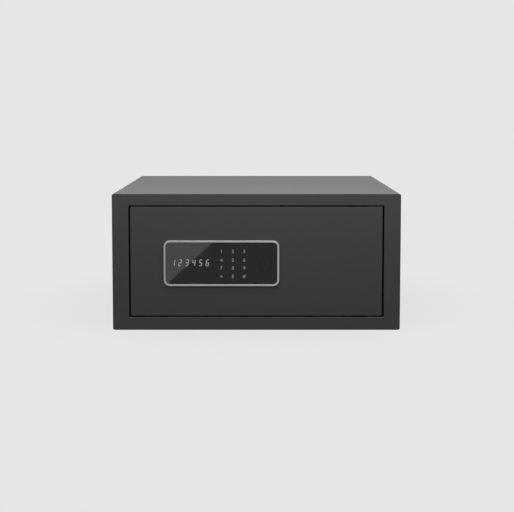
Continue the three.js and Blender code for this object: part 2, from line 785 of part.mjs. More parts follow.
// Chassis: plate on four standoffs behind the keypad, with the gear axle and the posts of the boards
function makeChassis() {
  const plate = block([chassisLeft, chassisRight], [chassisDepth, chassisRear], [chassisLow, chassisHigh]);
  const standoffXs = [chassisLeft + standoffInset, chassisRight - standoffInset];
  const standoffZs = [chassisLow + standoffDrop, chassisHigh - standoffDrop];
  const standoffs = standoffXs.flatMap((x) => standoffZs.map((z) => (
    barY(standoffRadius, [panFront, chassisDepth + chassisSheet / 2], [x, z], smallSides)
  )));
  const root = chassisDepth + chassisSheet / 2;
  const boardPosts = controlCorners().map(([x, z]) => (
    barY(boardPostRadius, [root, chassisRear + controlLift - seatGap], [x, z], smallSides)
  ));
  const motorPosts = motorPostPlaces().map(([x, z]) => (
    barY(motorPostRadius, [root, driveGearRear + slideGap], [x, z], smallSides)
  ));
  const axleEnd = driveGearRear + seatGap + axleHead;
  const gearAxis = [driveGearX, driveGearZ];
  const axle = join(
    barY(gearAxleRadius, [root, axleEnd], gearAxis),
    barY(gearAxleRadius + axleHead, [driveGearRear + seatGap, axleEnd], gearAxis),
  );
  const lockHole = barY(overrideBodyRadius + seatGap, [0, chassisRear + overrun], [overrideX, overrideZ]);
  const guideHoles = guideX.map((x) => (
    barY(guideRadius + seatGap, past(chassisDepth, chassisRear), [x, guideZ])
  ));
  const ribbonSlot = block(
    [ribbonX - ribbonWidth / 2 - ribbonSlotGap, ribbonX + ribbonWidth / 2 + ribbonSlotGap],
    past(chassisDepth, chassisRear),
    [ribbonZ - ribbonSlotGap, ribbonZ + ribbonThickness + ribbonSlotGap],
  );
  piece('lock_chassis', zincSteel, cut(
    join(plate, ...standoffs, ...boardPosts, ...motorPosts, axle), lockHole, ...guideHoles, ribbonSlot,
  ));

  guideX.forEach((x, number) => {
    const headFront = carriageRear + seatGap;
    const guide = join(
      barY(guideRadius, [chassisDepth - seatGap, headFront + guideHead / 2], [0, 0]),
      barY(guideHeadRadius, [headFront, headFront + guideHead], [0, 0]),
    );
    piece(`carriage_guide_${['left', 'right'][number]}`, zincSteel, guide, [x, 0, guideZ]);
  });

  boltZs.forEach((z, number) => {
    const inner = boltRadius + slideGap / 2;
    const guide = cut(
      barX(inner + boltGuideWall, [panLeft, panLeft + boltGuideLength], [boltDepth, 0]),
      barX(inner, past(panLeft, panLeft + boltGuideLength), [boltDepth, 0]),
    );
    piece(`bolt_guide_${['lower', 'upper'][number]}`, whiteNylon, guide, [0, 0, z]);
  });
}

function controlCorners() {
  const xs = [controlLeft + boardPostRadius, controlLeft + controlWidth - boardPostRadius];
  const zs = [controlLow + boardPostRadius, controlHigh - boardPostRadius];
  return xs.flatMap((x) => zs.map((z) => [x, z]));
}

// Bolt carriage: a sliding plate with an ear for each bolt, the rack, two guide slots and the override lug
function makeCarriage() {
  const earLeft = boltShoulderX + seatGap;
  const depth = [carriageFront, carriageRear];
  const upright = block(
    [carriageEdge - carriageWidth, carriageEdge], depth,
    [boltZs[0] - carriageMargin, boltZs[1] + carriageMargin],
  );
  const earSpan = [carriageFront, carriageFront + earDepth];
  const ears = boltZs.map((z) => (
    block([earLeft, carriageEdge], earSpan, [z - earHalfHeight, z + earHalfHeight])
  ));
  const rackLeft = carriageEdge - carriageWidth / 2;
  const rackRight = driveGearX + boltThrow + rackPitchRadius;
  const lugX = [lugRight - lugWidth, lugRight];
  const fingerLow = guideZ + guideRadius;
  const armRight = guideX[1] + boltThrow + guideRadius + armEndMargin;
  const arm = block([rackLeft, armRight], depth, [rackRootZ, rackPitchZ + armTop]);
  const finger = block([armRight - lugWidth, lugX[1]], depth, [fingerLow, fingerLow + fingerHeight]);
  const lug = block(lugX, [carriageFront, camFront - seatGap], [fingerLow, fingerLow + lugHeight]);
  const teeth = slab(rackOutline(rackRight), depth);
  const spigots = boltZs.map((z) => (
    barX(boltSpigotRadius + seatGap, past(earLeft, carriageEdge), [boltDepth, z])
  ));
  const slots = guideX.map((x) => slotY(
    guideRadius + slideGap / 2, past(carriageFront, carriageRear), [x, x + boltThrow], guideZ,
  ));
  const blank = join(upright, ...ears, arm, finger, lug, teeth);
  piece('bolt_carriage', zincSteel, cut(blank, ...spigots, ...slots));
}

// Rack teeth that point down, one centred over the gear axis, on a strip that overlaps the arm
function rackOutline(right) {
  const pitch = Math.PI * rackModule;
  const halfThickness = pitch / 4 - backlash / 4;
  const tip = rackPitchZ - addendumShare * rackModule;
  const flankShift = (z) => (rackPitchZ - z) * Math.tan(pressureAngle);
  const rootHalf = halfThickness - flankShift(rackRootZ);
  const tipHalf = halfThickness - flankShift(tip);
  const count = Math.floor((right - driveGearX) / pitch);
  const backRise = carriageSheet;
  const points = [];
  for (let tooth = -2; tooth < count; tooth += 1) {
    const x = driveGearX + tooth * pitch;
    points.push([x - rootHalf, rackRootZ], [x - tipHalf, tip], [x + tipHalf, tip], [x + rootHalf, rackRootZ]);
  }
  const backZ = rackRootZ + backRise;
  points.push([points.at(-1)[0], backZ], [points[0][0], backZ]);
  return new THREE.Shape(points.map(([x, z]) => new THREE.Vector2(x, z)));
}

// Bolts: turned bars with a chamfered tip, riveted through the ears
function makeBolts() {
  const spigotEnd = carriageEdge + seatGap;
  const profile = [
    [0, boltTipX],
    [boltRadius - boltTipChamfer, boltTipX],
    [boltRadius, boltTipX + boltTipChamfer],
    [boltRadius, boltShoulderX],
    [boltSpigotRadius, boltShoulderX],
    [boltSpigotRadius, spigotEnd],
    [boltHeadRadius, spigotEnd],
    [boltHeadRadius, spigotEnd + boltHead],
    [0, spigotEnd + boltHead],
  ];
  boltZs.forEach((z, number) => {
    const bolt = turned(profile).rotateZ(-Math.PI / 2);
    piece(`lock_bolt_${['lower', 'upper'][number]}`, satinChrome, solidOf(bolt), [0, boltDepth, z]);
  });
}

// Spur gears with involute flanks; firstTooth is the angle of the first tooth from +X towards +Z
function gearOutline(module, teeth, firstTooth) {
  const pitchRadius = (module * teeth) / 2;
  const baseRadius = pitchRadius * Math.cos(pressureAngle);
  const tipRadius = pitchRadius + addendumShare * module;
  const rootRadius = pitchRadius - dedendumShare * module;
  const involute = (radius) => {
    const angle = Math.acos(Math.min(1, baseRadius / radius));
    return Math.tan(angle) - angle;
  };
  const pitchHalf = (Math.PI * module / 2 - backlash / 2) / (2 * pitchRadius);
  const halfAngle = (radius) => pitchHalf + involute(pitchRadius) - involute(Math.max(radius, baseRadius));
  const flankStart = Math.max(rootRadius, baseRadius);
  const radii = [rootRadius, flankStart + (pitchRadius - flankStart) / 2, pitchRadius, tipRadius];
  const points = [];
  for (let tooth = 0; tooth < teeth; tooth += 1) {
    const middle = firstTooth + (2 * Math.PI * tooth) / teeth;
    const low = radii.map((radius) => [radius, middle - halfAngle(radius)]);
    const high = radii.map((radius) => [radius, middle + halfAngle(radius)]).reverse();
    points.push(...low, ...high);
  }
  return new THREE.Shape(points.map(([radius, angle]) => (
    new THREE.Vector2(radius * Math.cos(angle), radius * Math.sin(angle))
  )));
}

// The small gear sits in the rack and the large one is driven by the motor's pinion
function makeGears() {
  const clearance = seatGap / 2;
  const smallFirst = Math.PI / 2 + Math.PI / rackPinionTeeth;
  const small = slab(
    gearOutline(rackModule, rackPinionTeeth, smallFirst),
    [carriageFront + clearance, driveGearFront + clearance],
  );
  const large = slab(gearOutline(driveModule, driveGearTeeth, 0), [driveGearFront, driveGearRear]);
  const bore = barY(gearAxleRadius + pinFit, past(carriageFront, driveGearRear), [0, 0]);
  piece('drive_gear', whiteNylon, cut(join(small, large), bore), [driveGearX, 0, driveGearZ]);

  const pinionFirst = Math.PI + Math.PI / motorPinionTeeth;
  const pinion = cut(
    slab(gearOutline(driveModule, motorPinionTeeth, pinionFirst), [driveGearFront, driveGearRear]),
    barY(motorShaftRadius + pinFit, past(driveGearFront, driveGearRear), [0, 0], smallSides),
  );
  piece('motor_pinion', brass, pinion, [motorX, 0, driveGearZ]);
}

function motorPostPlaces() {
  const spread = motorRadius + motorBracketMargin;
  return [
    [motorX - motorRadius / 2, driveGearZ - spread],
    [motorX + spread, driveGearZ - motorRadius / 2],
    [motorX + spread, driveGearZ + motorRadius / 2],
  ];
}

// Motor on a bracket that stands on the chassis posts
function makeMotor() {
  const front = driveGearRear + slideGap + seatGap;
  const rear = front + motorBracketSheet;
  const reach = motorRadius + motorBracketMargin + motorPostRadius;
  const shaft = [motorX, driveGearZ];
  const bracket = cut(
    block(
      [motorX - motorRadius, motorX + reach], [front, rear], [driveGearZ - reach, driveGearZ + motorRadius],
    ),
    barY(motorShaftRadius + slideGap, past(front, rear), shaft, smallSides),
  );
  piece('motor_bracket', zincSteel, bracket);
  const body = rear + seatGap;
  const motor = join(
    barY(motorRadius, [body, body + motorLength], [0, 0]),
    barY(motorShaftRadius, [driveGearFront, body + motorLength / 2], [0, 0], smallSides),
  );
  piece('motor', zincSteel, motor, [motorX, 0, driveGearZ]);
}

function makeLimitSwitch() {
  const left = carriageEdge + slideGap + switchLeverWidth;
  const low = rackRootZ - switchArmGap - switchHeight;
  const depth = [carriageFront, carriageFront + switchThickness];
  const leverLow = low + switchHeight / 2;
  const lever = block(
    [left - switchLeverWidth, left + switchLeverWidth], depth, [leverLow, leverLow + switchLeverSheet],
  );
  const body = block([left, left + switchWidth], depth, [low, low + switchHeight]);
  piece('limit_switch', blackPlastic, join(body, lever));
}

// Control board with its chip, relay and connectors
function makeControlBoard() {
  const front = chassisRear + controlLift;
  const rear = front + boardSheet;
  const right = controlLeft + controlWidth;
  const chipLeft = controlLeft + partInset;
  const chipLow = controlHigh - partInset - chipSize;
  const relayLeft = chipLeft + chipSize + partInset;
  const embed = boardSheet / 2;
  const board = join(
    block([controlLeft, right], [front, rear], [controlLow, controlHigh]),
    block([chipLeft, chipLeft + chipSize], [rear - embed, rear + chipHeight], [chipLow, chipLow + chipSize]),
    block([relayLeft, relayLeft + relayWidth], [rear - embed, rear + relayHeight],
      [controlHigh - partInset - relayDepth, controlHigh - partInset]),
    block([right - connectorHeight, right], [rear - embed, rear + connectorHeight],
      [controlHigh - partInset - connectorWidth, controlHigh - partInset]),
    block([chipLeft, chipLeft + connectorWidth], [rear - embed, rear + connectorHeight],
      [controlLow, controlLow + connectorHeight]),
  );
  piece('control_board', greenBoard, board);
}

// Batteries: a tray under the cover, four cells and the lid
function batterySpan(growth) {
  const halfLength = holderHalfWidth + growth;
  const halfHeight = (cellPitch * cellCount) / 2 + growth;
  return [
    [holderCentreX - halfLength, holderCentreX + halfLength],
    [holderCentreZ - halfHeight, holderCentreZ + halfHeight],
  ];
}

function makeBatteries() {
  const cellAxis = coverFront - lidLedge - seatGap - cellRadius;
  const floorRear = cellAxis - cellRadius - seatGap;
  const [innerX, innerZ] = batterySpan(0);
  const [outerX, outerZ] = batterySpan(holderWall);
  const top = coverFront - seatGap;
  const tray = cut(
    block(outerX, [floorRear - holderWall, top], outerZ),
    block(innerX, [floorRear, top + overrun], innerZ),
  );
  piece('battery_holder', blackPlastic, tray);

  for (let cell = 0; cell < cellCount; cell += 1) {
    const z = innerZ[0] + cellPitch * (cell + 1 / 2);
    const facing = cell % 2 === 0 ? 1 : -1;
    const profile = [
      [0, -cellLength / 2],
      [cellRadius, -cellLength / 2],
      [cellRadius, cellLength / 2 - cellNub],
      [cellNubRadius, cellLength / 2 - cellNub],
      [cellNubRadius, cellLength / 2],
      [0, cellLength / 2],
    ];
    const can = turned(profile).rotateZ((-facing * Math.PI) / 2);
    piece(`battery_cell_${cell + 1}`, cellWrap, solidOf(can), [holderCentreX, cellAxis, z]);
  }

  const lidPlate = slab(roundedOutline(innerX, innerZ, lidLedge), [coverFront, coverRear]);
  const tongues = [-1, 1].map((side) => {
    const outer = holderCentreZ + side * ((cellPitch * cellCount) / 2 - seatGap);
    const inner = outer - side * lidTongueSheet;
    return block(
      [holderCentreX - lidTongueWidth / 2, holderCentreX + lidTongueWidth / 2],
      [coverFront - lidTongueDepth, coverFront + panSheet / 2],
      [Math.min(outer, inner), Math.max(outer, inner)],
    );
  });
  piece('battery_lid', blackPlastic, join(lidPlate, ...tongues));

  const leadDepth = chassisRear + controlLift + boardSheet + connectorHeight / 2;
  const leadZ = controlHigh - partInset - connectorWidth / 2;
  const start = new THREE.Vector3(controlLeft + controlWidth + seatGap, leadDepth, leadZ);
  const end = new THREE.Vector3(outerX[0] - seatGap, leadDepth, outerZ[1] - leadClear);
  const shift = leadStraight * (end.x - start.x);
  const route = new THREE.CatmullRomCurve3([
    start,
    new THREE.Vector3(start.x + shift, leadDepth, leadZ),
    new THREE.Vector3((start.x + end.x) / 2, leadDepth, (start.z + end.z) / 2),
    new THREE.Vector3(end.x - shift, leadDepth, end.z),
    end,
  ]);
  piece('battery_lead', blackRubber, wireAlong(route, leadRadius, leadSides, leadSteps));
}

// Reset button, kept behind the cover by its collar
function makeResetButton() {
  const rear = coverRear + resetProud;
  const collarRear = coverFront - seatGap;
  const button = join(
    barY(resetRadius, [rear - resetLength, rear], [0, 0]),
    barY(resetCollarRadius, [collarRear - resetCollar, collarRear], [0, 0]),
  );
  piece('reset_button', redPlastic, button, [resetX, 0, resetZ]);
}

// Anchor plugs, floor mat and door bumpers
function makeFittings() {
  const plugProfile = (through) => [
    [0, seatGap], [anchorRadius - seatGap, seatGap], [anchorRadius - seatGap, through + seatGap],
    [plugHeadRadius, through + seatGap], [plugHeadRadius, through + seatGap + plugHead],
    [0, through + seatGap + plugHead],
  ];
  [-1, 1].forEach((side) => {
    const hand = side < 0 ? 'left' : 'right';
    const x = (side * anchorSpread) / 2;
    const upright = turned(plugProfile(bodySheet)).rotateX(Math.PI / 2);
    piece(`base_anchor_plug_${hand}`, blackRubber, solidOf(upright), [x, anchorBaseDepth, 0]);
    const rearward = turned(plugProfile(bodySheet)).rotateX(Math.PI);
    piece(`rear_anchor_plug_${hand}`, blackRubber, solidOf(rearward), [x, bodyDepth, anchorRearHeight]);
  });

  const half = bodyWidth / 2 - bodySheet - matMargin;
  const matRear = bodyDepth - rearFlange - matMargin;
  const outline = roundedOutline([-half, half], [jambDepth + matMargin, matRear], matRadius);
  const mat = new THREE.ExtrudeGeometry(outline, { depth: matThickness, bevelEnabled: false });
  const clearHoles = [-1, 1].map((side) => barZ(
    plugHeadRadius + slideGap, past(innerLow, innerLow + matThickness),
    [(side * anchorSpread) / 2, anchorBaseDepth],
  ));
  piece('floor_mat', greyFelt, cut(mat.translate(0, 0, innerLow), ...clearHoles));

  const bumperX = -openX + stopWidth - bumperRadius - seatGap;
  [doorLow + bumperInset, doorHigh - bumperInset].forEach((z, number) => {
    const bumper = barY(bumperRadius, [doorRear + seatGap, stopDepth - seatGap], [0, 0], smallSides);
    piece(`door_bumper_${['lower', 'upper'][number]}`, blackRubber, bumper, [bumperX, 0, z]);
  });
}

makeShell();
makeBackPanel();
makeJamb();
makeHinge('upper', 1);
makeHinge('lower', -1);
makeDoorPlate();
makeDoorPan();
makeInnerCover();
makeKeypadFace();
makeKeypadHousing();
makeOverrideLock();
makeChassis();
makeCarriage();
makeBolts();
makeGears();
makeMotor();
makeLimitSwitch();
makeControlBoard();
makeBatteries();
makeResetButton();
makeFittings();

export default model;
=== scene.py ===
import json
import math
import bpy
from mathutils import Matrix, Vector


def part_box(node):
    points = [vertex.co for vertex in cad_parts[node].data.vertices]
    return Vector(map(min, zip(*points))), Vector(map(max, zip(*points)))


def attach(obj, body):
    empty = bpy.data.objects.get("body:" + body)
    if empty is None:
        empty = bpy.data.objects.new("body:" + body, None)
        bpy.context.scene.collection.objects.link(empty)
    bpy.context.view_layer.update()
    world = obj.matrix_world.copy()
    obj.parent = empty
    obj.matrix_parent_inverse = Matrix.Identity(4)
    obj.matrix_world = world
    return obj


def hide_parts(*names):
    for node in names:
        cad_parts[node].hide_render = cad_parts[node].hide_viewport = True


bl_info = {
    "name": "Electronic laptop safe",
    "version": (1, 0, 0),
    "blender": (4, 5, 0),
    "location": "View3D > Sidebar > Safe",
    "description": "Dresses the packed frame of a low electronic safe and sets up its studio view",
    "category": "Add Mesh",
}

import bmesh
import bpy
from bpy.props import FloatProperty, FloatVectorProperty, PointerProperty, StringProperty
from bpy.types import Operator, Panel, PropertyGroup
from mathutils import Matrix, Vector, noise

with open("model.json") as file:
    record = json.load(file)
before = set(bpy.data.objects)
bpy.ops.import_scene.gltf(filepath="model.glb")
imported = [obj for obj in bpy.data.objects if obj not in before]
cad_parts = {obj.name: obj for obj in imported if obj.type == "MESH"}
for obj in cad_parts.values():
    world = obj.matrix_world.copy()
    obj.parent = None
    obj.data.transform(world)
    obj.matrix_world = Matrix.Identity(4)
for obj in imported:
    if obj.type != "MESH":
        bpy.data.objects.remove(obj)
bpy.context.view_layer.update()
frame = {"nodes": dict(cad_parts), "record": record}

MM = 0.001

# What the frame says of each node, and the boxes of the keypad
SLOTS = {row["node"]: row["material_slot"] for row in frame["record"]["subparts"]}
BODIES = {node: body for body, nodes in frame["record"]["behaviour"]["bodies"].items() for node in nodes}
TRIM_LOW, TRIM_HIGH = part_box("keypad_trim")
FASCIA_LOW, FASCIA_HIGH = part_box("keypad_fascia")

# Sheet of the body, gaps beside and above the door, anchor holes, their plugs' heads, and the usual soft edge
SHEET = 2 * MM
DOOR_GAP = Vector((2.5, 0, 2)) * MM
ANCHOR_RADIUS, PLUG_HEAD = 5 * MM, 9 * MM
SOFT = 0.3 * MM

# Touch keys in reading order, and their places from the right and top edges of the fascia
KEYS = ("1", "2", "3", "4", "5", "6", "7", "8", "9", "star", "0", "hash")
KEY_COLUMNS = [FASCIA_HIGH.x - inset * MM for inset in (80.8, 64.1, 47.5)]
KEY_ROWS = [FASCIA_HIGH.z - drop * MM for drop in (12.65, 25.15, 36.85, 49.25)]

# Height of a printed figure at size 1, and millimetres from the middle of the display to that of its digits
FIGURE = 0.729
DIGITS_SHIFT = (-1.955, 0, 0.99)

# Bars that are lit for each digit, lettered clockwise from the top, with g in the middle
LIT = {"0": "abcdef", "1": "bc", "2": "abged", "3": "abgcd", "4": "fgbc", "5": "afgcd", "6": "afgedc",
       "7": "abc", "8": "abcdefg", "9": "abcdfg"}

# Inner nodes that get rounded edges, with the radius in millimetres, and those with a finish of their own
SOFT_EDGES = {
    "jamb_frame": 0.3, "strike_plate": 0.25, "hinge_block_upper": 0.4, "hinge_block_lower": 0.4,
    "hinge_bush_upper": 0.15, "hinge_bush_lower": 0.15, "hinge_pin_upper": 0.3, "hinge_pin_lower": 0.3,
    "door_pan": 0.3, "bolt_guide_upper": 0.2, "bolt_guide_lower": 0.2, "override_lock_body": 0.2,
    "override_plug": 0.15, "battery_holder": 0.25,
}
OWN_FINISH = {"door_pan": "inner_coat", "hinge_pin_upper": "black_oxide", "hinge_pin_lower": "black_oxide"}

# Camera: its place, its pitch downwards in degrees, its focal length in millimetres and its shift
EYE, PITCH, LENS, LENS_SHIFT = (0.00087, -1.61974, 0.32782), 4.2228, 69.643, -0.15

# How far a cutter runs past what it cuts, the radius that stands for the axis in a turned profile, and the
# distance at which two points are one
CUT = 10 * MM
AXIS = 0.1 * MM
WELD = 0.001 * MM


def centre(node):
    """Middle of a frame node's box."""
    low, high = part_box(node)
    return (low + high) / 2


def plugs(face):
    """Middles of the two anchor plugs of the base or the rear."""
    return [centre(f"{face}_anchor_plug_{side}") for side in ("left", "right")]


def evenly(size):
    """The same step in X and Z."""
    return Vector((size, 0, size))


def keypad_band():
    """Room for the trim ring round the fascia, with a small gap between the two."""
    return FASCIA_LOW.x - TRIM_LOW.x - 0.3 * MM


# Settings


class SafeCoatSettings(PropertyGroup):
    """Finish of the powder-coated steel"""

    colour: FloatVectorProperty(
        name="Coat colour", description="Dark grey of the powder coat", subtype="COLOR", size=3,
        min=0, max=1, default=(0.0358, 0.0358, 0.0358))
    # Painted shade: the lining is near-black, far darker than the coat, so that the jamb and the door gap
    # read as deep shade.
    lining: FloatVectorProperty(
        name="Lining colour", description="Matt black of the jamb", subtype="COLOR", size=3,
        min=0, max=1, default=(0.008, 0.008, 0.008))
    inner: FloatVectorProperty(
        name="Inner coat colour", description="Dark grey of the door pan and the inner cover",
        subtype="COLOR", size=3, min=0, max=1, default=(0.024, 0.024, 0.024))
    roughness: FloatProperty(
        name="Coat roughness", description="Mean roughness of the powder coat", subtype="FACTOR",
        min=0.05, max=1, default=0.44)
    grain: FloatProperty(
        name="Grain size", description="Size of the orange peel of the coat", subtype="DISTANCE",
        unit="LENGTH", min=0.2 * MM, max=4 * MM, default=0.9 * MM)
    edge: FloatProperty(
        name="Edge radius", description="Soft radius on cut sheet edges", subtype="DISTANCE", unit="LENGTH",
        min=0.1 * MM, max=1 * MM, default=0.7 * MM)


class SafeKeypadSettings(PropertyGroup):
    """Keypad trim, fascia, digits and keys"""

    chrome: FloatVectorProperty(
        name="Trim colour", description="Satin chrome of the trim ring", subtype="COLOR", size=3,
        min=0, max=1, default=(0.4, 0.4, 0.405))
    trim_width: FloatProperty(
        name="Trim width", description="Width of the trim ring on its face", subtype="DISTANCE",
        unit="LENGTH", min=2 * MM, max=keypad_band(), default=2.7 * MM)
    fascia: FloatVectorProperty(
        name="Fascia colour", description="Black of the glossy fascia", subtype="COLOR", size=3,
        min=0, max=1, default=(0.004, 0.004, 0.0042))
    lit: FloatVectorProperty(
        name="Lit digit colour", description="Colour of a lit segment", subtype="COLOR", size=3,
        min=0, max=1, default=(0.3, 0.3, 0.305))
    printed: FloatVectorProperty(
        name="Key print colour", description="Grey ink of the touch keys", subtype="COLOR", size=3,
        min=0, max=1, default=(0.265, 0.265, 0.265))
    shown: StringProperty(
        name="Digits shown", description="Digits on the display, six at most", default="123456")
    digit_height: FloatProperty(
        name="Digit height", description="Height of a lit digit", subtype="DISTANCE", unit="LENGTH",
        min=5 * MM, max=20 * MM, default=10 * MM)
    digit_pitch: FloatProperty(
        name="Digit pitch", description="From one digit to the next", subtype="DISTANCE", unit="LENGTH",
        min=4 * MM, max=20 * MM, default=9.95 * MM)
    digit_slant: FloatProperty(
        name="Digit slant", description="Lean of the digits", subtype="ANGLE", unit="ROTATION",
        min=0, max=0.5, default=math.radians(9))
    key_height: FloatProperty(
        name="Key print height", description="Height of a printed key", subtype="DISTANCE", unit="LENGTH",
        min=2 * MM, max=10 * MM, default=4.9 * MM)


class SafeStageSettings(PropertyGroup):
    """Studio round the safe"""

    backdrop: FloatProperty(
        name="Backdrop level", description="Linear brightness of the plain background", subtype="FACTOR",
        min=0, max=1, default=0.791)
    lamp: FloatProperty(
        name="Overhead lamp power", description="Power of the large lamp above the front", subtype="POWER",
        unit="POWER", min=0, max=100, default=4.3)
    rear_lamp: FloatProperty(
        name="Rear lamp power", description="Power of the lamp behind", subtype="POWER",
        unit="POWER", min=0, max=100, default=6.7)


def settings():
    """The scene's settings of the coat, the keypad and the stage."""
    scene = bpy.context.scene
    return scene.safe_coat, scene.safe_keypad, scene.safe_stage


# Node helpers


def put(tree, term, socket):
    """Feeds a socket from another socket, or sets its number, vector or colour."""
    if isinstance(term, bpy.types.NodeSocket):
        tree.links.new(term, socket)
    elif socket.type == "RGBA":
        socket.default_value = (*term[:3], 1)
    else:
        socket.default_value = term


def add(tree, kind, fed=None, **values):
    """One shader node; fed gives its inputs by name or number, and values give its inputs or settings."""
    made = tree.nodes.new(kind)
    for key, value in values.items():
        if key in made.inputs:
            put(tree, value, made.inputs[key])
        else:
            setattr(made, key, value)
    for key, value in (fed or {}).items():
        put(tree, value, made.inputs[key])
    return made


def sums(tree, operation, first, second, clamp=False):
    """A Math node's result; each term is a socket or a number."""
    return add(tree, "ShaderNodeMath", {0: first, 1: second}, operation=operation, use_clamp=clamp).outputs[0]


def shares(tree, first, share, second):
    """A share of the first value and the rest of the second."""
    return sums(tree, "ADD", sums(tree, "MULTIPLY", first, share), sums(tree, "MULTIPLY", second, 1 - share))


def span(tree, value, low, high, to_low=0.0, to_high=1.0):
    """A value carried from one span to another, held inside it."""
    fed = {"Value": value, "From Min": low, "From Max": high, "To Min": to_low, "To Max": to_high}
    return add(tree, "ShaderNodeMapRange", fed, clamp=True).outputs["Result"]


def blended(tree, factor, first, second):
    """A colour mix; first and second are sockets or colours."""
    made = add(tree, "ShaderNodeMix", data_type="RGBA")
    for place, term in ((0, factor), (6, first), (7, second)):
        put(tree, term, made.inputs[place])
    return made.outputs[2]


def here(tree):
    """The place on the object."""
    return add(tree, "ShaderNodeTexCoord").outputs["Object"]


def stretched(tree, at, by):
    """A place with each axis multiplied."""
    return add(tree, "ShaderNodeVectorMath", {0: at, 1: by}, operation="MULTIPLY").outputs[0]


def cloud(tree, at, scale, detail, roughness=0.5):
    """Noise from 0 to 1."""
    return add(tree, "ShaderNodeTexNoise", {"Vector": at}, Scale=scale, Detail=detail,
               Roughness=roughness).outputs[0]


# Shared groups


def new_group(name, inputs, outputs):
    """An empty node group: the group, what comes into it, and the sockets that its results go to."""
    group = bpy.data.node_groups.new(name, "ShaderNodeTree")
    for label, default in inputs.items():
        kind = "NodeSocketVector" if isinstance(default, tuple) else "NodeSocketFloat"
        group.interface.new_socket(name=label, in_out="INPUT", socket_type=kind).default_value = default
    for label in outputs:
        group.interface.new_socket(name=label, in_out="OUTPUT", socket_type="NodeSocketFloat")
    return group, group.nodes.new("NodeGroupInput").outputs, group.nodes.new("NodeGroupOutput").inputs


def grain_group(name):
    """Fine surface texture: a height for bump, and a slow mask for colour and gloss."""
    group, given, result = new_group(
        name, {"Size": MM, "Stretch": (1, 1, 1), "Drift Size": 60 * MM}, ("Height", "Drift", "Speckle"))
    at = here(group)
    long = stretched(group, at, given["Stretch"])
    fine = sums(group, "DIVIDE", 1.0, given["Size"])
    peel = cloud(group, long, fine, 3, 0.55)
    pits = add(group, "ShaderNodeTexVoronoi", {"Vector": long, "Scale": sums(group, "MULTIPLY", fine, 0.7)},
               feature="F1").outputs["Distance"]
    slow = cloud(group, at, sums(group, "DIVIDE", 1.0, given["Drift Size"]), 4)
    put(group, shares(group, peel, 0.7, pits), result["Height"])
    put(group, span(group, slow, 0.3, 0.7), result["Drift"])
    put(group, span(group, peel, 0.35, 0.65), result["Speckle"])
    return group


def wear_group(name):
    """Edges rubbed bare: a mask that is high on outer edges and broken up by noise."""
    group, given, result = new_group(name, {"Radius": 0.8 * MM, "Amount": 0.5}, ("Mask",))
    rounded = add(group, "ShaderNodeBevel", {"Radius": given["Radius"]}, samples=4)
    flat = add(group, "ShaderNodeNewGeometry")
    facing = add(group, "ShaderNodeVectorMath", {0: rounded.outputs[0], 1: flat.outputs["Normal"]},
                 operation="DOT_PRODUCT")
    edge = span(group, facing.outputs["Value"], 0.99, 0.86)
    broken = span(group, cloud(group, here(group), 90, 5, 0.65), 0.42, 0.62)
    worn = sums(group, "MULTIPLY", edge, broken)
    put(group, sums(group, "MULTIPLY", worn, given["Amount"], clamp=True), result["Mask"])
    return group


def dust_group(name):
    """Fine dust: a mask on faces that look up, in soft patches."""
    group, given, result = new_group(name, {"Amount": 0.1}, ("Mask",))
    flat = add(group, "ShaderNodeNewGeometry")
    apart = add(group, "ShaderNodeSeparateXYZ", {"Vector": flat.outputs["Normal"]})
    at = here(group)
    patches = span(group, cloud(group, at, 22, 6, 0.6), 0.35, 0.75)
    specks = span(group, cloud(group, at, 1400, 1), 0.4, 0.7, 0.5, 1.0)
    up = span(group, apart.outputs["Z"], 0.3, 1.0)
    lying = sums(group, "MULTIPLY", up, sums(group, "MULTIPLY", patches, specks))
    put(group, sums(group, "MULTIPLY", lying, given["Amount"], clamp=True), result["Mask"])
    return group


def brushed_group(name):
    """Drawn or brushed lines along one axis: a height, and a mask that varies the gloss."""
    group, given, result = new_group(name, {"Along": (20, 2500, 2500), "Broad": 18.0}, ("Height", "Gloss"))
    at = here(group)
    lines = cloud(group, stretched(group, at, given["Along"]), 1, 3, 0.6)
    broad = cloud(group, at, given["Broad"], 3)
    put(group, lines, result["Height"])
    gloss = shares(group, span(group, lines, 0.3, 0.7), 0.5, span(group, broad, 0.3, 0.7))
    put(group, gloss, result["Gloss"])
    return group


GROUPS = {"Surface grain": grain_group, "Edge wear": wear_group, "Fine dust": dust_group,
          "Brushed lines": brushed_group}


def placed(tree, name, **values):
    """What a shared group puts out in a material, with its own values; a group is built once."""
    made = tree.nodes.new("ShaderNodeGroup")
    made.node_tree = bpy.data.node_groups.get(name) or GROUPS[name](name)
    for key, value in values.items():
        made.inputs[key.replace("_", " ")].default_value = value
    return made.outputs


# Finishes


def times(colour, factor):
    """A colour made lighter or darker."""
    return [min(1, channel * factor) for channel in colour]


def new_finish(name, **values):
    """A new material's node tree and its Principled shader, with the values that are the same all over."""
    made = bpy.data.materials.new(name + "_finish")
    made.use_nodes = True
    shader = made.node_tree.nodes["Principled BSDF"]
    for key, value in values.items():
        put(made.node_tree, value, shader.inputs[key.replace("_", " ")])
    return made.node_tree, shader


def surface(tree, shader, colour, roughness, height, strength, relief):
    """Feeds a colour, a bump and, unless it is None, a roughness to the shader."""
    put(tree, colour, shader.inputs["Base Color"])
    if roughness is not None:
        put(tree, roughness, shader.inputs["Roughness"])
    raised = add(tree, "ShaderNodeBump", {"Height": height}, Strength=strength, Distance=relief)
    put(tree, raised.outputs[0], shader.inputs["Normal"])


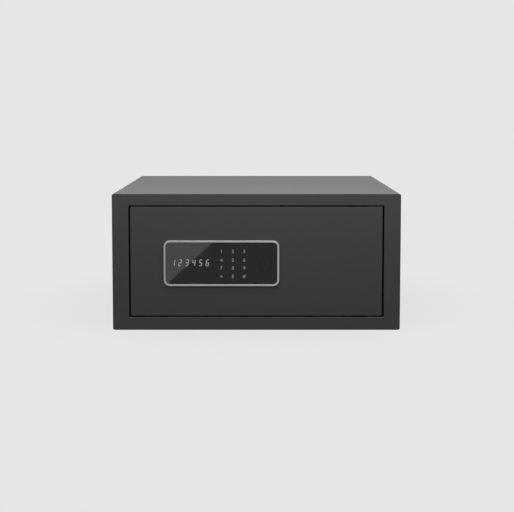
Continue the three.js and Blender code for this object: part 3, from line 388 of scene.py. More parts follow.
def coat_finish(name, colour, roughness, grain, dust=0.05, wear=0.35, gloss=1.25):
    """Powder coat: orange peel, a slow drift of shade, rubbed edges and a little dust."""
    tree, shader = new_finish(name, IOR=gloss)
    peel = placed(tree, "Surface grain", Size=grain, Drift_Size=110 * MM)
    rubbed = placed(tree, "Edge wear", Radius=0.7 * MM, Amount=wear)["Mask"]
    dusty = placed(tree, "Fine dust", Amount=dust)["Mask"]
    shade = blended(tree, peel["Drift"], times(colour, 0.985), times(colour, 1.015))
    shade = blended(tree, sums(tree, "MULTIPLY", peel["Speckle"], 0.3), shade, times(colour, 1.35))
    shade = blended(tree, rubbed, shade, (0.09, 0.09, 0.0918))
    shade = blended(tree, dusty, shade, (0.22, 0.215, 0.205))
    matt = sums(tree, "ADD", span(tree, peel["Drift"], 0, 1, roughness - 0.006, roughness + 0.006),
                sums(tree, "MULTIPLY", dusty, 0.25))
    matt = sums(tree, "SUBTRACT", matt, sums(tree, "MULTIPLY", rubbed, 0.1))
    surface(tree, shader, shade, matt, peel["Height"], 0.5, 0.12 * MM)


def steel_finish(name, colour, roughness, along=(30, 2600, 2600), wear=0.25, relief=0.02 * MM, metallic=1.0,
                 uneven=0.12):
    """Plated or drawn metal: fine lines, cloudy gloss and brighter edges."""
    tree, shader = new_finish(name, Metallic=metallic)
    lines = placed(tree, "Brushed lines", Along=along)
    rubbed = placed(tree, "Edge wear", Radius=0.5 * MM, Amount=wear)["Mask"]
    less, more = 1 - uneven, 1 + uneven
    shade = blended(tree, lines["Gloss"], times(colour, less), times(colour, more))
    shade = blended(tree, rubbed, shade, times(colour, 1.35))
    matt = span(tree, lines["Gloss"], 0, 1, roughness * less, roughness * more)
    surface(tree, shader, shade, matt, lines["Height"], 0.3, relief)


def moulded_finish(name, colour, roughness, grain=0.4 * MM, relief=0.03 * MM, dust=0.05):
    """Moulded plastic or rubber: a fine spark-eroded texture with uneven gloss."""
    tree, shader = new_finish(name)
    skin = placed(tree, "Surface grain", Size=grain, Drift_Size=20 * MM)
    dusty = placed(tree, "Fine dust", Amount=dust)["Mask"]
    shade = blended(tree, skin["Drift"], times(colour, 0.9), times(colour, 1.1))
    shade = blended(tree, dusty, shade, (0.2, 0.195, 0.185))
    matt = span(tree, skin["Drift"], 0, 1, roughness * 0.9, min(1, roughness * 1.1))
    surface(tree, shader, shade, matt, skin["Height"], 0.4, relief)


def gloss_finish(name, colour):
    """Polished acrylic: a clean mirror face with the faintest wipe marks."""
    tree, shader = new_finish(name, IOR=1.36)
    wipes = placed(tree, "Brushed lines", Along=(60, 60, 260), Broad=30.0)
    specks = placed(tree, "Surface grain", Size=1.6 * MM, Drift_Size=30 * MM)
    shade = blended(tree, specks["Drift"], times(colour, 0.9), times(colour, 1.12))
    matt = span(tree, wipes["Gloss"], 0.2, 0.9, 0.02, 0.045)
    surface(tree, shader, shade, matt, specks["Height"], 0.05, 0.004 * MM)


def felt_finish(name, colour):
    """Needled felt: matted fibres in two lengths, paler clumps and a soft sheen."""
    tree, shader = new_finish(name, Roughness=0.95, Sheen_Weight=0.35, Sheen_Roughness=0.6)
    at = here(tree)
    bent = add(tree, "ShaderNodeTexNoise", {"Vector": at}, Scale=160.0, Detail=2.0).outputs["Color"]
    pushed = add(tree, "ShaderNodeVectorMath", {0: bent, 1: (4 * MM, 4 * MM, 4 * MM), 2: at},
                 operation="MULTIPLY_ADD").outputs[0]
    short = cloud(tree, pushed, 1500, 4, 0.75)
    long = cloud(tree, stretched(tree, pushed, (420, 2400, 1500)), 1, 4, 0.7)
    matted = shares(tree, short, 0.5, long)
    clumps = cloud(tree, pushed, 380, 5, 0.8)
    shade = blended(tree, span(tree, matted, 0.35, 0.65), times(colour, 0.5), times(colour, 1.6))
    shade = blended(tree, span(tree, clumps, 0.4, 0.62, 0, 0.75), shade, times(colour, 2))
    surface(tree, shader, shade, None, sums(tree, "ADD", matted, clumps), 0.9, 0.6 * MM)


def board_finish(name, colour):
    """Solder-masked board: copper runs that show through as a lighter green."""
    tree, shader = new_finish(name)
    bricks = {"Vector": here(tree), "Scale": 260.0, "Mortar Size": 0.06, "Mortar Smooth": 0.1,
              "Brick Width": 1.7, "Row Height": 0.28}
    runs = add(tree, "ShaderNodeTexBrick", bricks, offset=0.35).outputs["Fac"]
    shade = blended(tree, runs, times(colour, 1.5), times(colour, 0.7))
    surface(tree, shader, shade, span(tree, runs, 0, 1, 0.3, 0.42), runs, 0.25, 0.04 * MM)


def wrap_finish(name, colour):
    """Shrink-wrapped cell: a plain tone with a gold end, lightly creased and glossy, with painted shade that
    darkens the wrap where it is creased.
    """
    tree, shader = new_finish(name, Roughness=0.3, Coat_Weight=0.4, Coat_Roughness=0.15)
    at = here(tree)
    apart = add(tree, "ShaderNodeSeparateXYZ", {"Vector": at})
    split, soft = centre("battery_cell_1").x + 11.83 * MM, 0.1 * MM
    end = span(tree, apart.outputs["X"], split - soft, split + soft)
    crease_and_shade = cloud(tree, at, 300, 3)
    shade = blended(tree, end, colour, (0.42, 0.32, 0.14))
    # Painted shade: the wrap turns darker where the crease noise is high.
    shade = blended(tree, span(tree, crease_and_shade, 0.4, 0.7, 0, 0.2), shade, (0.02, 0.03, 0.05))
    surface(tree, shader, shade, None, crease_and_shade, 0.3, 0.05 * MM)


def lamp_finish(name, colour, strength):
    """Lit bars of the display: a glow that varies a little from place to place."""
    tree, shader = new_finish(name, Roughness=0.25, Emission_Strength=strength, Base_Color=(0.02, 0.02, 0.02))
    cells = cloud(tree, here(tree), 420, 2)
    shade = blended(tree, span(tree, cells, 0.3, 0.7), times(colour, 0.9), times(colour, 1.1))
    put(tree, shade, shader.inputs["Emission Color"])


def ink_finish(name, colour):
    """Printed grey ink with a slightly uneven lay."""
    tree, shader = new_finish(name, Specular_IOR_Level=0.3)
    lay = placed(tree, "Surface grain", Size=0.3 * MM, Drift_Size=4 * MM)
    shade = blended(tree, lay["Speckle"], times(colour, 0.92), times(colour, 1.08))
    matt = span(tree, lay["Speckle"], 0, 1, 0.4, 0.5)
    surface(tree, shader, shade, matt, lay["Height"], 0.2, 0.01 * MM)


def build_finishes():
    """The finish of each material slot, and of the pieces that the scene adds."""
    coat, keypad, _ = settings()
    coat_finish("powder_coat", coat.colour, coat.roughness, coat.grain)
    # The lining's near-black colour is painted shade for the jamb and the door gap.
    coat_finish("lining_coat", coat.lining, 0.6, coat.grain, dust=0.08, wear=0.2, gloss=1.12)
    coat_finish("inner_coat", coat.inner, 0.5, coat.grain, dust=0.08, wear=0.25)
    steel_finish("zinc_steel", (0.5, 0.51, 0.52), 0.36)
    steel_finish("satin_chrome", keypad.chrome, 0.36, along=(1200, 1200, 1200), wear=0.0, relief=0.004 * MM,
                 metallic=0.8, uneven=0.03)
    gloss_finish("black_acrylic", keypad.fascia)
    moulded_finish("black_plastic", (0.018, 0.018, 0.02), 0.5)
    moulded_finish("black_rubber", (0.014, 0.014, 0.014), 0.75, grain=0.7 * MM, relief=0.05 * MM, dust=0.15)
    felt_finish("grey_felt", (0.062, 0.062, 0.063))
    board_finish("green_board", (0.02, 0.12, 0.05))
    steel_finish("brass", (0.55, 0.4, 0.16), 0.3, along=(2600, 90, 2600))
    moulded_finish("white_nylon", (0.68, 0.67, 0.62), 0.42, dust=0.02)
    wrap_finish("cell_wrap", (0.06, 0.14, 0.3))
    moulded_finish("red_plastic", (0.36, 0.02, 0.015), 0.35, dust=0.02)
    steel_finish("spring_steel", (0.36, 0.37, 0.39), 0.3, along=(900, 900, 900))
    lamp_finish("lit_segment", keypad.lit, 1.0)
    ink_finish("key_ink", keypad.printed)
    steel_finish("black_oxide", (0.02, 0.02, 0.021), 0.45, along=(2600, 2600, 90), wear=0.1)


def look(name):
    """A finish by its name; all of them are built when the first is asked for."""
    if name + "_finish" not in bpy.data.materials:
        build_finishes()
    return bpy.data.materials[name + "_finish"]


# Shapes


def round_rect(x0, x1, z0, z1, radius, inset=0.0, steps=8):
    """Outline of a rounded rectangle in X and Z, pulled in by inset on every side."""
    radius = max(radius - inset, 0.05 * MM)
    x0, x1, z0, z1 = x0 + inset, x1 - inset, z0 + inset, z1 - inset
    corners = ((x1 - radius, z0 + radius, -90), (x1 - radius, z1 - radius, 0),
               (x0 + radius, z1 - radius, 90), (x0 + radius, z0 + radius, 180))
    points = []
    for x, z, start in corners:
        for step in range(steps + 1):
            angle = math.radians(start + 90 * step / steps)
            points.append((x + radius * math.cos(angle), z + radius * math.sin(angle)))
    return points


def rounded(low, high, radius, steps=8):
    """The rounded outline of a box seen from the front, as a function of its inset."""
    return lambda inset=0.0: round_rect(low.x, high.x, low.z, high.z, radius, inset, steps)


def circle(x, z, radius, steps=48):
    """Outline of a circle in X and Z."""
    return [(x + radius * math.cos(math.tau * k / steps), z + radius * math.sin(math.tau * k / steps))
            for k in range(steps)]


def at_depth(outline, y):
    """An outline in X and Z placed at a depth."""
    return [(x, y, z) for x, z in outline]


def quarter(edge, steps):
    """A rounded edge as pairs of inset and depth, from the face to the side."""
    turn = [math.radians(90 * step / steps) for step in range(steps + 1)]
    return [(edge * (1 - math.sin(angle)), edge * (1 - math.cos(angle))) for angle in turn]


def plate_loops(outline, y0, y1, edge, steps=4):
    """Loops of a plate from y0 to y1 with rounded edges; outline takes an inset and gives points."""
    near = [at_depth(outline(inset), y0 + back) for inset, back in quarter(edge, steps)]
    far = [at_depth(outline(inset), y1 - back) for inset, back in reversed(quarter(edge, steps))]
    return near + far


def skin(loops, wrap=False):
    """Faces between loops with the same number of points; the ends are closed, or joined if wrap is set."""
    bm = bmesh.new()
    rows = [[bm.verts.new(point) for point in loop] for loop in loops]
    pairs = list(zip(rows, rows[1:]))
    if wrap:
        pairs.append((rows[-1], rows[0]))
    for near, far in pairs:
        for k in range(len(near)):
            nxt = (k + 1) % len(near)
            bm.faces.new((near[k], near[nxt], far[nxt], far[k]))
    if not wrap:
        bm.faces.new(rows[0][::-1])
        bm.faces.new(rows[-1])
    bmesh.ops.recalc_face_normals(bm, faces=bm.faces)
    return bm


def turned(profile, steps=48):
    """A body turned about the Y axis from (radius, y) pairs, first to last."""
    return skin([at_depth(circle(0, 0, radius, steps), y) for radius, y in profile])


def soft_profile(corners, edge, steps=3):
    """A turned profile with each inner corner rounded by edge."""
    points = [corners[0]]
    for before, here, after in zip(corners, corners[1:], corners[2:]):
        here = Vector(here)
        back, ahead = Vector(before) - here, Vector(after) - here
        reach = min(edge, back.length / 2, ahead.length / 2)
        start, end = here + back.normalized() * reach, here + ahead.normalized() * reach
        for step in range(steps + 1):
            t = step / steps
            points.append(tuple(start * (1 - t) ** 2 + here * 2 * t * (1 - t) + end * t * t))
    points.append(corners[-1])
    return points


def bar_y(spot, radius, y0, y1, steps=48):
    """A plain round bar along Y through a spot."""
    return skin([at_depth(circle(spot.x, spot.z, radius, steps), y) for y in (y0, y1)])


def bar_z(spot, radius, z0, z1, steps=48):
    """A plain round bar along Z through a spot."""
    return skin([[(x, y, z) for x, y in circle(spot.x, spot.y, radius, steps)] for z in (z0, z1)])


def box_mesh(x, y, z):
    """A plain box from three spans."""
    return skin([[(x[0], d, z[0]), (x[1], d, z[0]), (x[1], d, z[1]), (x[0], d, z[1])] for d in y])


def moved(bm, matrix):
    """The mesh after a move."""
    bmesh.ops.transform(bm, matrix=matrix, verts=bm.verts)
    return bm


def settled(name, bm):
    """A mesh with what bm holds."""
    mesh = bpy.data.meshes.new(name)
    bm.to_mesh(mesh)
    bm.free()
    return mesh


def linked(name, data):
    """A new object in the scene."""
    made = bpy.data.objects.new(name, data)
    bpy.context.scene.collection.objects.link(made)
    return made


def as_shown(made):
    """An object's mesh after its modifiers or from its curve, as a bmesh; the object is removed."""
    seen = made.evaluated_get(bpy.context.evaluated_depsgraph_get())
    bm = bmesh.new()
    bm.from_mesh(bpy.data.meshes.new_from_object(seen))
    bpy.data.objects.remove(made)
    return bm


def carved(bm, *cutters):
    """The mesh with each cutter taken away."""
    base, *tools = [linked("blank", settled("blank", mesh)) for mesh in (bm, *cutters)]
    for tool in tools:
        step = base.modifiers.new("carve", "BOOLEAN")
        step.operation = "DIFFERENCE"
        step.solver = "EXACT"
        step.object = tool
    result = as_shown(base)
    for tool in tools:
        bpy.data.objects.remove(tool)
    bmesh.ops.remove_doubles(result, verts=result.verts, dist=WELD)
    return result


def merged(*meshes):
    """Several meshes as one, each kept whole."""
    result = bmesh.new()
    for bm in meshes:
        mesh = settled("part", bm)
        result.from_mesh(mesh)
        bpy.data.meshes.remove(mesh)
    return result


def softened(node, edge):
    """A frame node's mesh with its sharp edges rounded."""
    bm = bmesh.new()
    bm.from_mesh(frame["nodes"][node].data)
    bmesh.ops.remove_doubles(bm, verts=bm.verts, dist=WELD)
    bmesh.ops.dissolve_limit(bm, angle_limit=math.radians(1), verts=bm.verts, edges=bm.edges)
    sharp = [e for e in bm.edges if len(e.link_faces) == 2 and e.calc_face_angle() > math.radians(50)]
    bmesh.ops.bevel(bm, geom=sharp, offset=edge, segments=2, profile=0.5, affect="EDGES", clamp_overlap=True)
    bmesh.ops.recalc_face_normals(bm, faces=bm.faces)
    return bm


def make(name, bm, slot, body, replaces=(), finish=None, sharp=32, weighted=True):
    """A piece from a mesh: its finish, which is that of its slot unless another is named, its shading and the
    body that it rides on.
    """
    piece = linked(name, settled(name, bm))
    piece.data.materials.append(look(finish or slot))
    piece.data.shade_smooth()
    piece.data.set_sharp_from_angle(angle=math.radians(sharp))
    if weighted:
        even = piece.modifiers.new("even faces", "WEIGHTED_NORMAL")
        even.keep_sharp = True
        even.weight = 80
    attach(piece, body)
    if replaces:
        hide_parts(*replaces)
    return piece


# Body and its fittings


class SAFE_OT_body_shell(Operator):
    """Folded body shell: framed front, rounded bends and an open rear"""

    bl_idname = "safe.body_shell"
    bl_label = "Body shell"

    def execute(self, context):
        low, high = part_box("cabinet_shell")
        door_low, door_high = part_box("door_plate")
        cut, bend = settings()[0].edge, 0.6 * MM
        outer = rounded(low, high, 3 * MM)
        mouth = rounded(door_low - DOOR_GAP, door_high + DOOR_GAP, 0.9 * MM)
        loops = [at_depth(mouth(), low.y + SHEET)]
        loops += [at_depth(mouth(-growth), low.y + back) for growth, back in reversed(quarter(cut, 4))]
        loops += [at_depth(outer(inset), low.y + back) for inset, back in quarter(bend, 8)]
        for inset, back in ((0, SOFT), (SOFT, 0), (SHEET - SOFT, 0), (SHEET, SOFT)):
            loops.append(at_depth(outer(inset), high.y - back))
        loops.append(at_depth(outer(SHEET), low.y + SHEET))
        holes = [bar_z(plug, ANCHOR_RADIUS, low.z - CUT, low.z + CUT) for plug in plugs("base")]
        shell = carved(skin(loops, wrap=True), *holes)
        make("body_shell", shell, "powder_coat", "cabinet", ["cabinet_shell"])
        return {"FINISHED"}


class SAFE_OT_rear_panel(Operator):
    """Rear panel: a shallow pan with soft bends, spot welds along its rim and two anchor holes"""

    bl_idname = "safe.rear_panel"
    bl_label = "Rear panel"

    def execute(self, context):
        low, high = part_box("back_panel")
        bend, rim = 1.5 * MM, 6.8 * MM
        pan = rounded(low, high, bend, 6)

        def welds(start, end, count):
            return [start + rim + (end - start - 2 * rim) * k / (count - 1) for k in range(count)]

        loops = [at_depth(pan(SOFT), low.y), at_depth(pan(), low.y + SOFT)]
        loops += [at_depth(pan(inset), high.y - back) for inset, back in reversed(quarter(bend, 6))]
        for inset, sunk in ((12 * MM, 0), (13.5 * MM, 0.4 * MM), (14 * MM, 0.6 * MM)):
            loops.append(at_depth(pan(inset), high.y - sunk))
        hollow = skin([at_depth(pan(SHEET), y) for y in (low.y - CUT, high.y - SHEET - 0.5 * MM)])
        holes = [bar_y(plug, ANCHOR_RADIUS, high.y - CUT, high.y + CUT) for plug in plugs("rear")]
        across, upright = welds(low.x, high.x, 9), welds(low.z, high.z, 5)
        spots = [(x, z) for x in across for z in (upright[0], upright[-1])]
        spots += [(x, z) for x in (across[0], across[-1]) for z in upright[1:-1]]
        wide, deep = 2.5 * MM, 0.5 * MM
        dent = [(AXIS, -deep), (0.6 * wide, -0.9 * deep), (0.88 * wide, -0.4 * deep), (wide, 0.4 * deep),
                (AXIS, 0.4 * deep)]
        dents = [moved(turned(dent, 24), Matrix.Translation((x, high.y, z))) for x, z in spots]
        panel = carved(skin(loops), hollow, *holes, merged(*dents))
        make("rear_panel", panel, "powder_coat", "cabinet", ["back_panel"])
        return {"FINISHED"}


class SAFE_OT_plugs(Operator):
    """Rubber plugs in the anchor holes, and the two bumpers that the door shuts against"""

    bl_idname = "safe.plugs"
    bl_label = "Plugs and bumpers"

    def execute(self, context):
        for face in ("base", "rear"):
            for side in ("left", "right"):
                self.plug(f"{face}_anchor_plug_{side}", face)
        for place in ("upper", "lower"):
            self.bumper(f"door_bumper_{place}")
        return {"FINISHED"}

    def plug(self, node, face):
        """A stem in the hole and a wide head with a shallow dish."""
        low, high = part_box(node)
        middle = centre(node)
        if face == "base":
            length, seat, turn = high.z - low.z, (middle.x, middle.y, low.z), math.pi / 2
        else:
            length, seat, turn = high.y - low.y, (middle.x, high.y, middle.z), math.pi
        stem, thick = ANCHOR_RADIUS - 0.3 * MM, 2 * MM
        dish, sunk = 3 * MM, 0.6 * MM
        corners = [(AXIS, 0), (stem, 0), (stem, length - thick), (PLUG_HEAD, length - thick),
                   (PLUG_HEAD - 0.4 * MM, length), (dish + 0.5 * MM, length), (dish, length - sunk),
                   (AXIS, length - sunk)]
        shape = moved(turned(soft_profile(corners, SOFT)),
                      Matrix.Translation(seat) @ Matrix.Rotation(turn, 4, "X"))
        make(node + "_skin", shape, "black_rubber", "cabinet", [node])

    def bumper(self, node):
        """A low dome that faces the door."""
        low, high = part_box(node)
        middle = centre(node)
        radius, thick = (high.x - low.x) / 2, high.y - low.y
        dome = [(AXIS, -thick)]
        for angle in range(15, 91, 15):
            crown = math.radians(angle)
            dome.append((0.96 * radius * math.sin(crown), -thick * (0.35 + 0.65 * math.cos(crown))))
        dome += [(radius, -0.25 * thick), (radius, 0), (AXIS, 0)]
        shape = moved(turned(dome, 32), Matrix.Translation((middle.x, high.y, middle.z)))
        make(node + "_dome", shape, "black_rubber", "cabinet", [node])


class SAFE_OT_floor_mat(Operator):
    """Needled felt mat that lies on the floor of the safe"""

    bl_idname = "safe.floor_mat"
    bl_label = "Floor mat"

    def execute(self, context):
        low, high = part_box("floor_mat")
        size = high - low
        step = 3 * MM
        columns, rows = int(size.x / step), int(size.y / step)
        bm = bmesh.new()

        def ripple(x, y, often, layer):
            return noise.noise(Vector((x * often, y * often, layer)))

        def side(k, count):
            return 1 if k == 0 else -1 if k == count else 0

        top, bottom = [], []
        for j in range(rows + 1):
            for grid in (top, bottom):
                grid.append([])
            for i in range(columns + 1):
                x, y = low.x + size.x * i / columns, low.y + size.y * j / rows
                fray = 0.4 * MM * (1 + ripple(x, y, 160, 9))
                x, y = x + side(i, columns) * fray, y + side(j, rows) * fray
                sunk = 0.7 * MM if side(i, columns) or side(j, rows) else 0.22 * MM
                rise = 0.1 * MM * ripple(x, y, 9, 1) + 0.12 * MM * ripple(x, y, 210, 5)
                top[-1].append(bm.verts.new((x, y, high.z - sunk + rise)))
                bottom[-1].append(bm.verts.new((x, y, low.z)))
        for j in range(rows):
            for i in range(columns):
                bm.faces.new([top[a][b] for a, b in ((j, i), (j, i + 1), (j + 1, i + 1), (j + 1, i))])
                bm.faces.new([bottom[a][b] for a, b in ((j, i), (j + 1, i), (j + 1, i + 1), (j, i + 1))])
        rims = []
        for grid in (top, bottom):
            right, left = [row[-1] for row in grid[1:]], [row[0] for row in grid[-2:0:-1]]
            rims.append(grid[0] + right + grid[-1][-2::-1] + left)
        upper, lower = rims
        for k in range(len(upper)):
            nxt = (k + 1) % len(upper)
            bm.faces.new((lower[k], lower[nxt], upper[nxt], upper[k]))
        bmesh.ops.recalc_face_normals(bm, faces=bm.faces)
        hole = PLUG_HEAD + 0.5 * MM
        holes = [bar_z(plug, hole, low.z - CUT, high.z + CUT, 40) for plug in plugs("base")]
        mat = make("felt_mat", carved(bm, *holes), "grey_felt", "cabinet", ["floor_mat"], sharp=60,
                   weighted=False)
        return {"FINISHED"}


# Door


class SAFE_OT_door_leaf(Operator):
    """Door leaf with its keypad aperture and the hole of the override lock"""

    bl_idname = "safe.door_leaf"
    bl_label = "Door leaf"

    def execute(self, context):
        low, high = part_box("door_plate")
        housing_low, housing_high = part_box("keypad_housing")
        lip = evenly(5 * MM)
        window = rounded(housing_low + lip, housing_high - lip, 0.5 * MM)()
        loops = plate_loops(rounded(low, high, 1.5 * MM), low.y, high.y, settings()[0].edge)
        loops += [at_depth(window, y) for y in (high.y, low.y)]
        lock = centre("override_cover")
        bore, recess, sunk = 8.3 * MM, 9.3 * MM, 1.5 * MM
        holes = [bar_y(lock, bore, low.y - CUT, high.y + CUT), bar_y(lock, recess, low.y - CUT, low.y + sunk)]
        make("door_leaf", carved(skin(loops, wrap=True), *holes), "powder_coat", "door", ["door_plate"])
        return {"FINISHED"}


class SAFE_OT_door_rear(Operator):
    """Rear of the door: inner cover, its screws, the battery lid and the reset button"""

    bl_idname = "safe.door_rear"
    bl_label = "Door rear"

    def execute(self, context):
        self.cover()
        for number in (1, 2, 3, 4):
            self.screw(number)
        self.lid()
        self.button()
        return {"FINISHED"}

    def cover(self):
        """Thin cover with holes for the lid, the button and the screws."""
        low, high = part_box("inner_cover")
        lid_low, lid_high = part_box("battery_lid")
        near, far = low.y - CUT, high.y + CUT
        button_hole, screw_hole = 3.4 * MM, 1.8 * MM
        lid_hole = rounded(lid_low, lid_high, 1.2 * MM)(-SOFT)
        cuts = [skin([at_depth(lid_hole, y) for y in (near, far)]),
                bar_y(centre("reset_button"), button_hole, near, far, 32)]
        cuts += [bar_y(centre(f"cover_screw_{k}"), screw_hole, near, far, 24) for k in (1, 2, 3, 4)]
        sheet = rounded(low, high, 1.5 * MM)
        shape = carved(skin(plate_loops(sheet, low.y, high.y, SOFT, 3)), *cuts)
        make("door_inner_cover", shape, "lining_coat", "door", ["inner_cover"], finish="inner_coat")

    def screw(self, number):
        """Pan-head screw with a cross recess, left at its own angle."""
        node = f"cover_screw_{number}"
        low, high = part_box(node)
        middle = centre(node)
        shank, pan, head = 1.5 * MM, 3 * MM, high.y - 1.6 * MM
        corners = [(AXIS, low.y), (shank - 0.4 * MM, low.y), (shank, low.y + 0.6 * MM), (shank, head),
                   (pan, head), (pan, head + 0.5 * MM), (pan - 0.6 * MM, high.y - 0.2 * MM),
                   (0.4 * pan, high.y), (AXIS, high.y)]
        body = turned(soft_profile(corners, 0.2 * MM), 32)
        turn = Matrix.Rotation(math.radians(23 + 58 * number), 4, "Y")
        long, thin, deep = (-1.6 * MM, 1.6 * MM), (-0.3 * MM, 0.3 * MM), (high.y - 1.1 * MM, high.y + MM)
        cross = [moved(box_mesh(x, deep, z), turn) for x, z in ((long, thin), (thin, long))]
        shape = moved(carved(body, *cross), Matrix.Translation((middle.x, 0, middle.z)))
        make(f"cross_screw_{number}", shape, "zinc_steel", "door", [node])

    def lid(self):
        """Battery lid with grip ribs and the two tongues that hold it in the cover."""
        low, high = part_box("battery_lid")
        front = high.y - 1.2 * MM
        start, end, pitch, wide = low.x + 16 * MM, high.x - 16 * MM, 1.6 * MM, 0.8 * MM
        ribs = []
        for k in range(7):
            z = high.z - 9 * MM - k * pitch
            ribs.append(skin([
                at_depth(round_rect(start, end, z, z + wide, wide / 2, inset, 4), high.y - sunk)
                for inset, sunk in ((-0.1 * MM, -MM), (0, 0.5 * MM), (0.2 * MM, 0.7 * MM))]))
        plate = rounded(low, high, 1.5 * MM)
        shape = carved(skin(plate_loops(plate, front, high.y, SOFT, 3)), *ribs)
        middle = (low.x + high.x) / 2
        inner, outer = 1.1 * MM, 0.3 * MM
        tongues = [box_mesh((middle - 5 * MM, middle + 5 * MM), (low.y, front + 0.4 * MM), z)
                   for z in ((low.z + outer, low.z + inner), (high.z - inner, high.z - outer))]
        make("battery_lid_moulding", merged(shape, *tongues), "black_plastic", "cell_lid", ["battery_lid"])

    def button(self):
        """Reset button with a collar behind the cover and a dished face."""
        low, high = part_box("reset_button")
        middle = centre("reset_button")
        stem, collar, thick = 3 * MM, 5 * MM, 1.2 * MM
        start = min(v.co.y for v in frame["nodes"]["reset_button"].data.vertices
                    if math.hypot(v.co.x - middle.x, v.co.z - middle.z) > 0.9 * collar)
        corners = [(AXIS, low.y), (stem, low.y), (stem, start), (collar, start), (collar, start + thick),
                   (stem, start + thick), (stem, high.y - SOFT), (stem - 0.8 * MM, high.y),
                   (AXIS, high.y - SOFT)]
        shape = moved(turned(soft_profile(corners, 0.25 * MM), 32),
                      Matrix.Translation((middle.x, 0, middle.z)))
        make("reset_button_cap", shape, "red_plastic", "reset", ["reset_button"])


class SAFE_OT_cells(Operator):
    """Four round cells, wrapped, with a nub at one end and a flat can at the other"""

    bl_idname = "safe.cells"
    bl_label = "Battery cells"

    def execute(self, context):
        for number in (1, 2, 3, 4):
            node = f"battery_cell_{number}"
            low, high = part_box(node)
            half, radius = (high.x - low.x) / 2, (high.z - low.z) / 2
            bare, waist, shoulder = radius - 0.8 * MM, radius - 1.2 * MM, half - MM
            nub = 2.7 * MM
            profile = [
                (AXIS, SOFT - half), (waist, SOFT - half), (bare, -half), (radius - 0.2 * MM, -half),
                (radius, SOFT - half), (radius, half - 1.6 * MM), (radius - SOFT, half - 1.1 * MM),
                (waist, shoulder), (nub, shoulder), (nub - 0.1 * MM, half - 0.2 * MM),
                (nub - 0.4 * MM, half), (AXIS, half),
            ]
            body = turned(profile, 40)
            for face in body.faces:
                if all(math.hypot(v.co.x, v.co.z) < bare + 0.1 * MM for v in face.verts):
                    face.material_index = 1
            facing = -math.pi / 2 if number % 2 else math.pi / 2
            turn = Matrix.Translation(centre(node)) @ Matrix.Rotation(facing, 4, "Z")
            cell = make(node + "_wrapped", moved(body, turn), "cell_wrap", "door", [node])
            cell.data.materials.append(look("zinc_steel"))
        return {"FINISHED"}


class SAFE_OT_bolts(Operator):
    """Turned and chamfered locking bolts"""

    bl_idname = "safe.bolts"
    bl_label = "Locking bolts"

    def execute(self, context):
        for node in ("lock_bolt_upper", "lock_bolt_lower"):
            low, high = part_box(node)
            middle = centre(node)
            radius = (high.z - low.z) / 2
            shoulder, neck, foot, chamfer = low.x + 55 * MM, 4 * MM, high.x - 2 * MM, 2 * MM
            corners = [(AXIS, low.x), (radius - chamfer, low.x), (radius, low.x + chamfer),
                       (radius, shoulder), (neck, shoulder), (neck, foot), (radius - MM, foot),
                       (radius - MM, high.x), (AXIS, high.x)]
            turn = Matrix.Translation((0, middle.y, middle.z)) @ Matrix.Rotation(-math.pi / 2, 4, "Z")
            shape = moved(turned(soft_profile(corners, 0.4 * MM, 4), 64), turn)
            make(node + "_turned", shape, "satin_chrome", "bolt_work", [node])
        return {"FINISHED"}


# Keypad


class SAFE_OT_keypad(Operator):
    """Keypad trim ring, glossy fascia and the snap-in override cover"""

    bl_idname = "safe.keypad"
    bl_label = "Keypad"

    def execute(self, context):
        front, rear = TRIM_LOW.y, TRIM_HIGH.y
        band = settings()[1].trim_width
        slim = evenly(keypad_band() - band)
        outline = rounded(TRIM_LOW + slim, TRIM_HIGH, 9 * MM, 16)
        section = [(0, rear)]
        section += [(inset, front + back) for inset, back in reversed(quarter(0.4 * MM, 4))]
        section += [(band - inset, front + back) for inset, back in quarter(0.12 * MM, 4)]
        section.append((band, rear))
        ring = skin([at_depth(outline(inset), y) for inset, y in section], wrap=True)
        make("keypad_trim_ring", ring, "satin_chrome", "door", ["keypad_trim"], sharp=50)

        sheet = rounded(FASCIA_LOW, FASCIA_HIGH + slim, 5.3 * MM, 16)
        low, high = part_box("override_cover")
        lock, radius = centre("override_cover"), (high.x - low.x) / 2

        def round_cover(inset):
            return circle(lock.x, lock.z, radius - inset, 96)

        hole = bar_y(lock, radius + 0.25 * MM, FASCIA_LOW.y - CUT, FASCIA_HIGH.y + CUT, 96)
        panel = carved(skin(plate_loops(sheet, FASCIA_LOW.y, FASCIA_HIGH.y, 0.2 * MM, 3)), hole)
        disc = skin(plate_loops(round_cover, low.y, high.y, 0.15 * MM, 3))
        for piece in (
            make("keypad_fascia_sheet", panel, "black_acrylic", "door", ["keypad_fascia"]),
            make("override_cover_disc", disc, "black_acrylic", "key_cover", ["override_cover"]),
        ):
            bpy.data.collections["glare"].objects.link(piece)
        return {"FINISHED"}


def segment(length, width, upright):
    """One bar of a seven-segment digit with pointed ends, as points about its middle."""
    half, side = length / 2, width / 2
    points = [(-half, 0), (-half + side, side), (half - side, side), (half, 0), (half - side, -side),
              (-half + side, -side)]
    return [(-b, a) if upright else (a, b) for a, b in points]


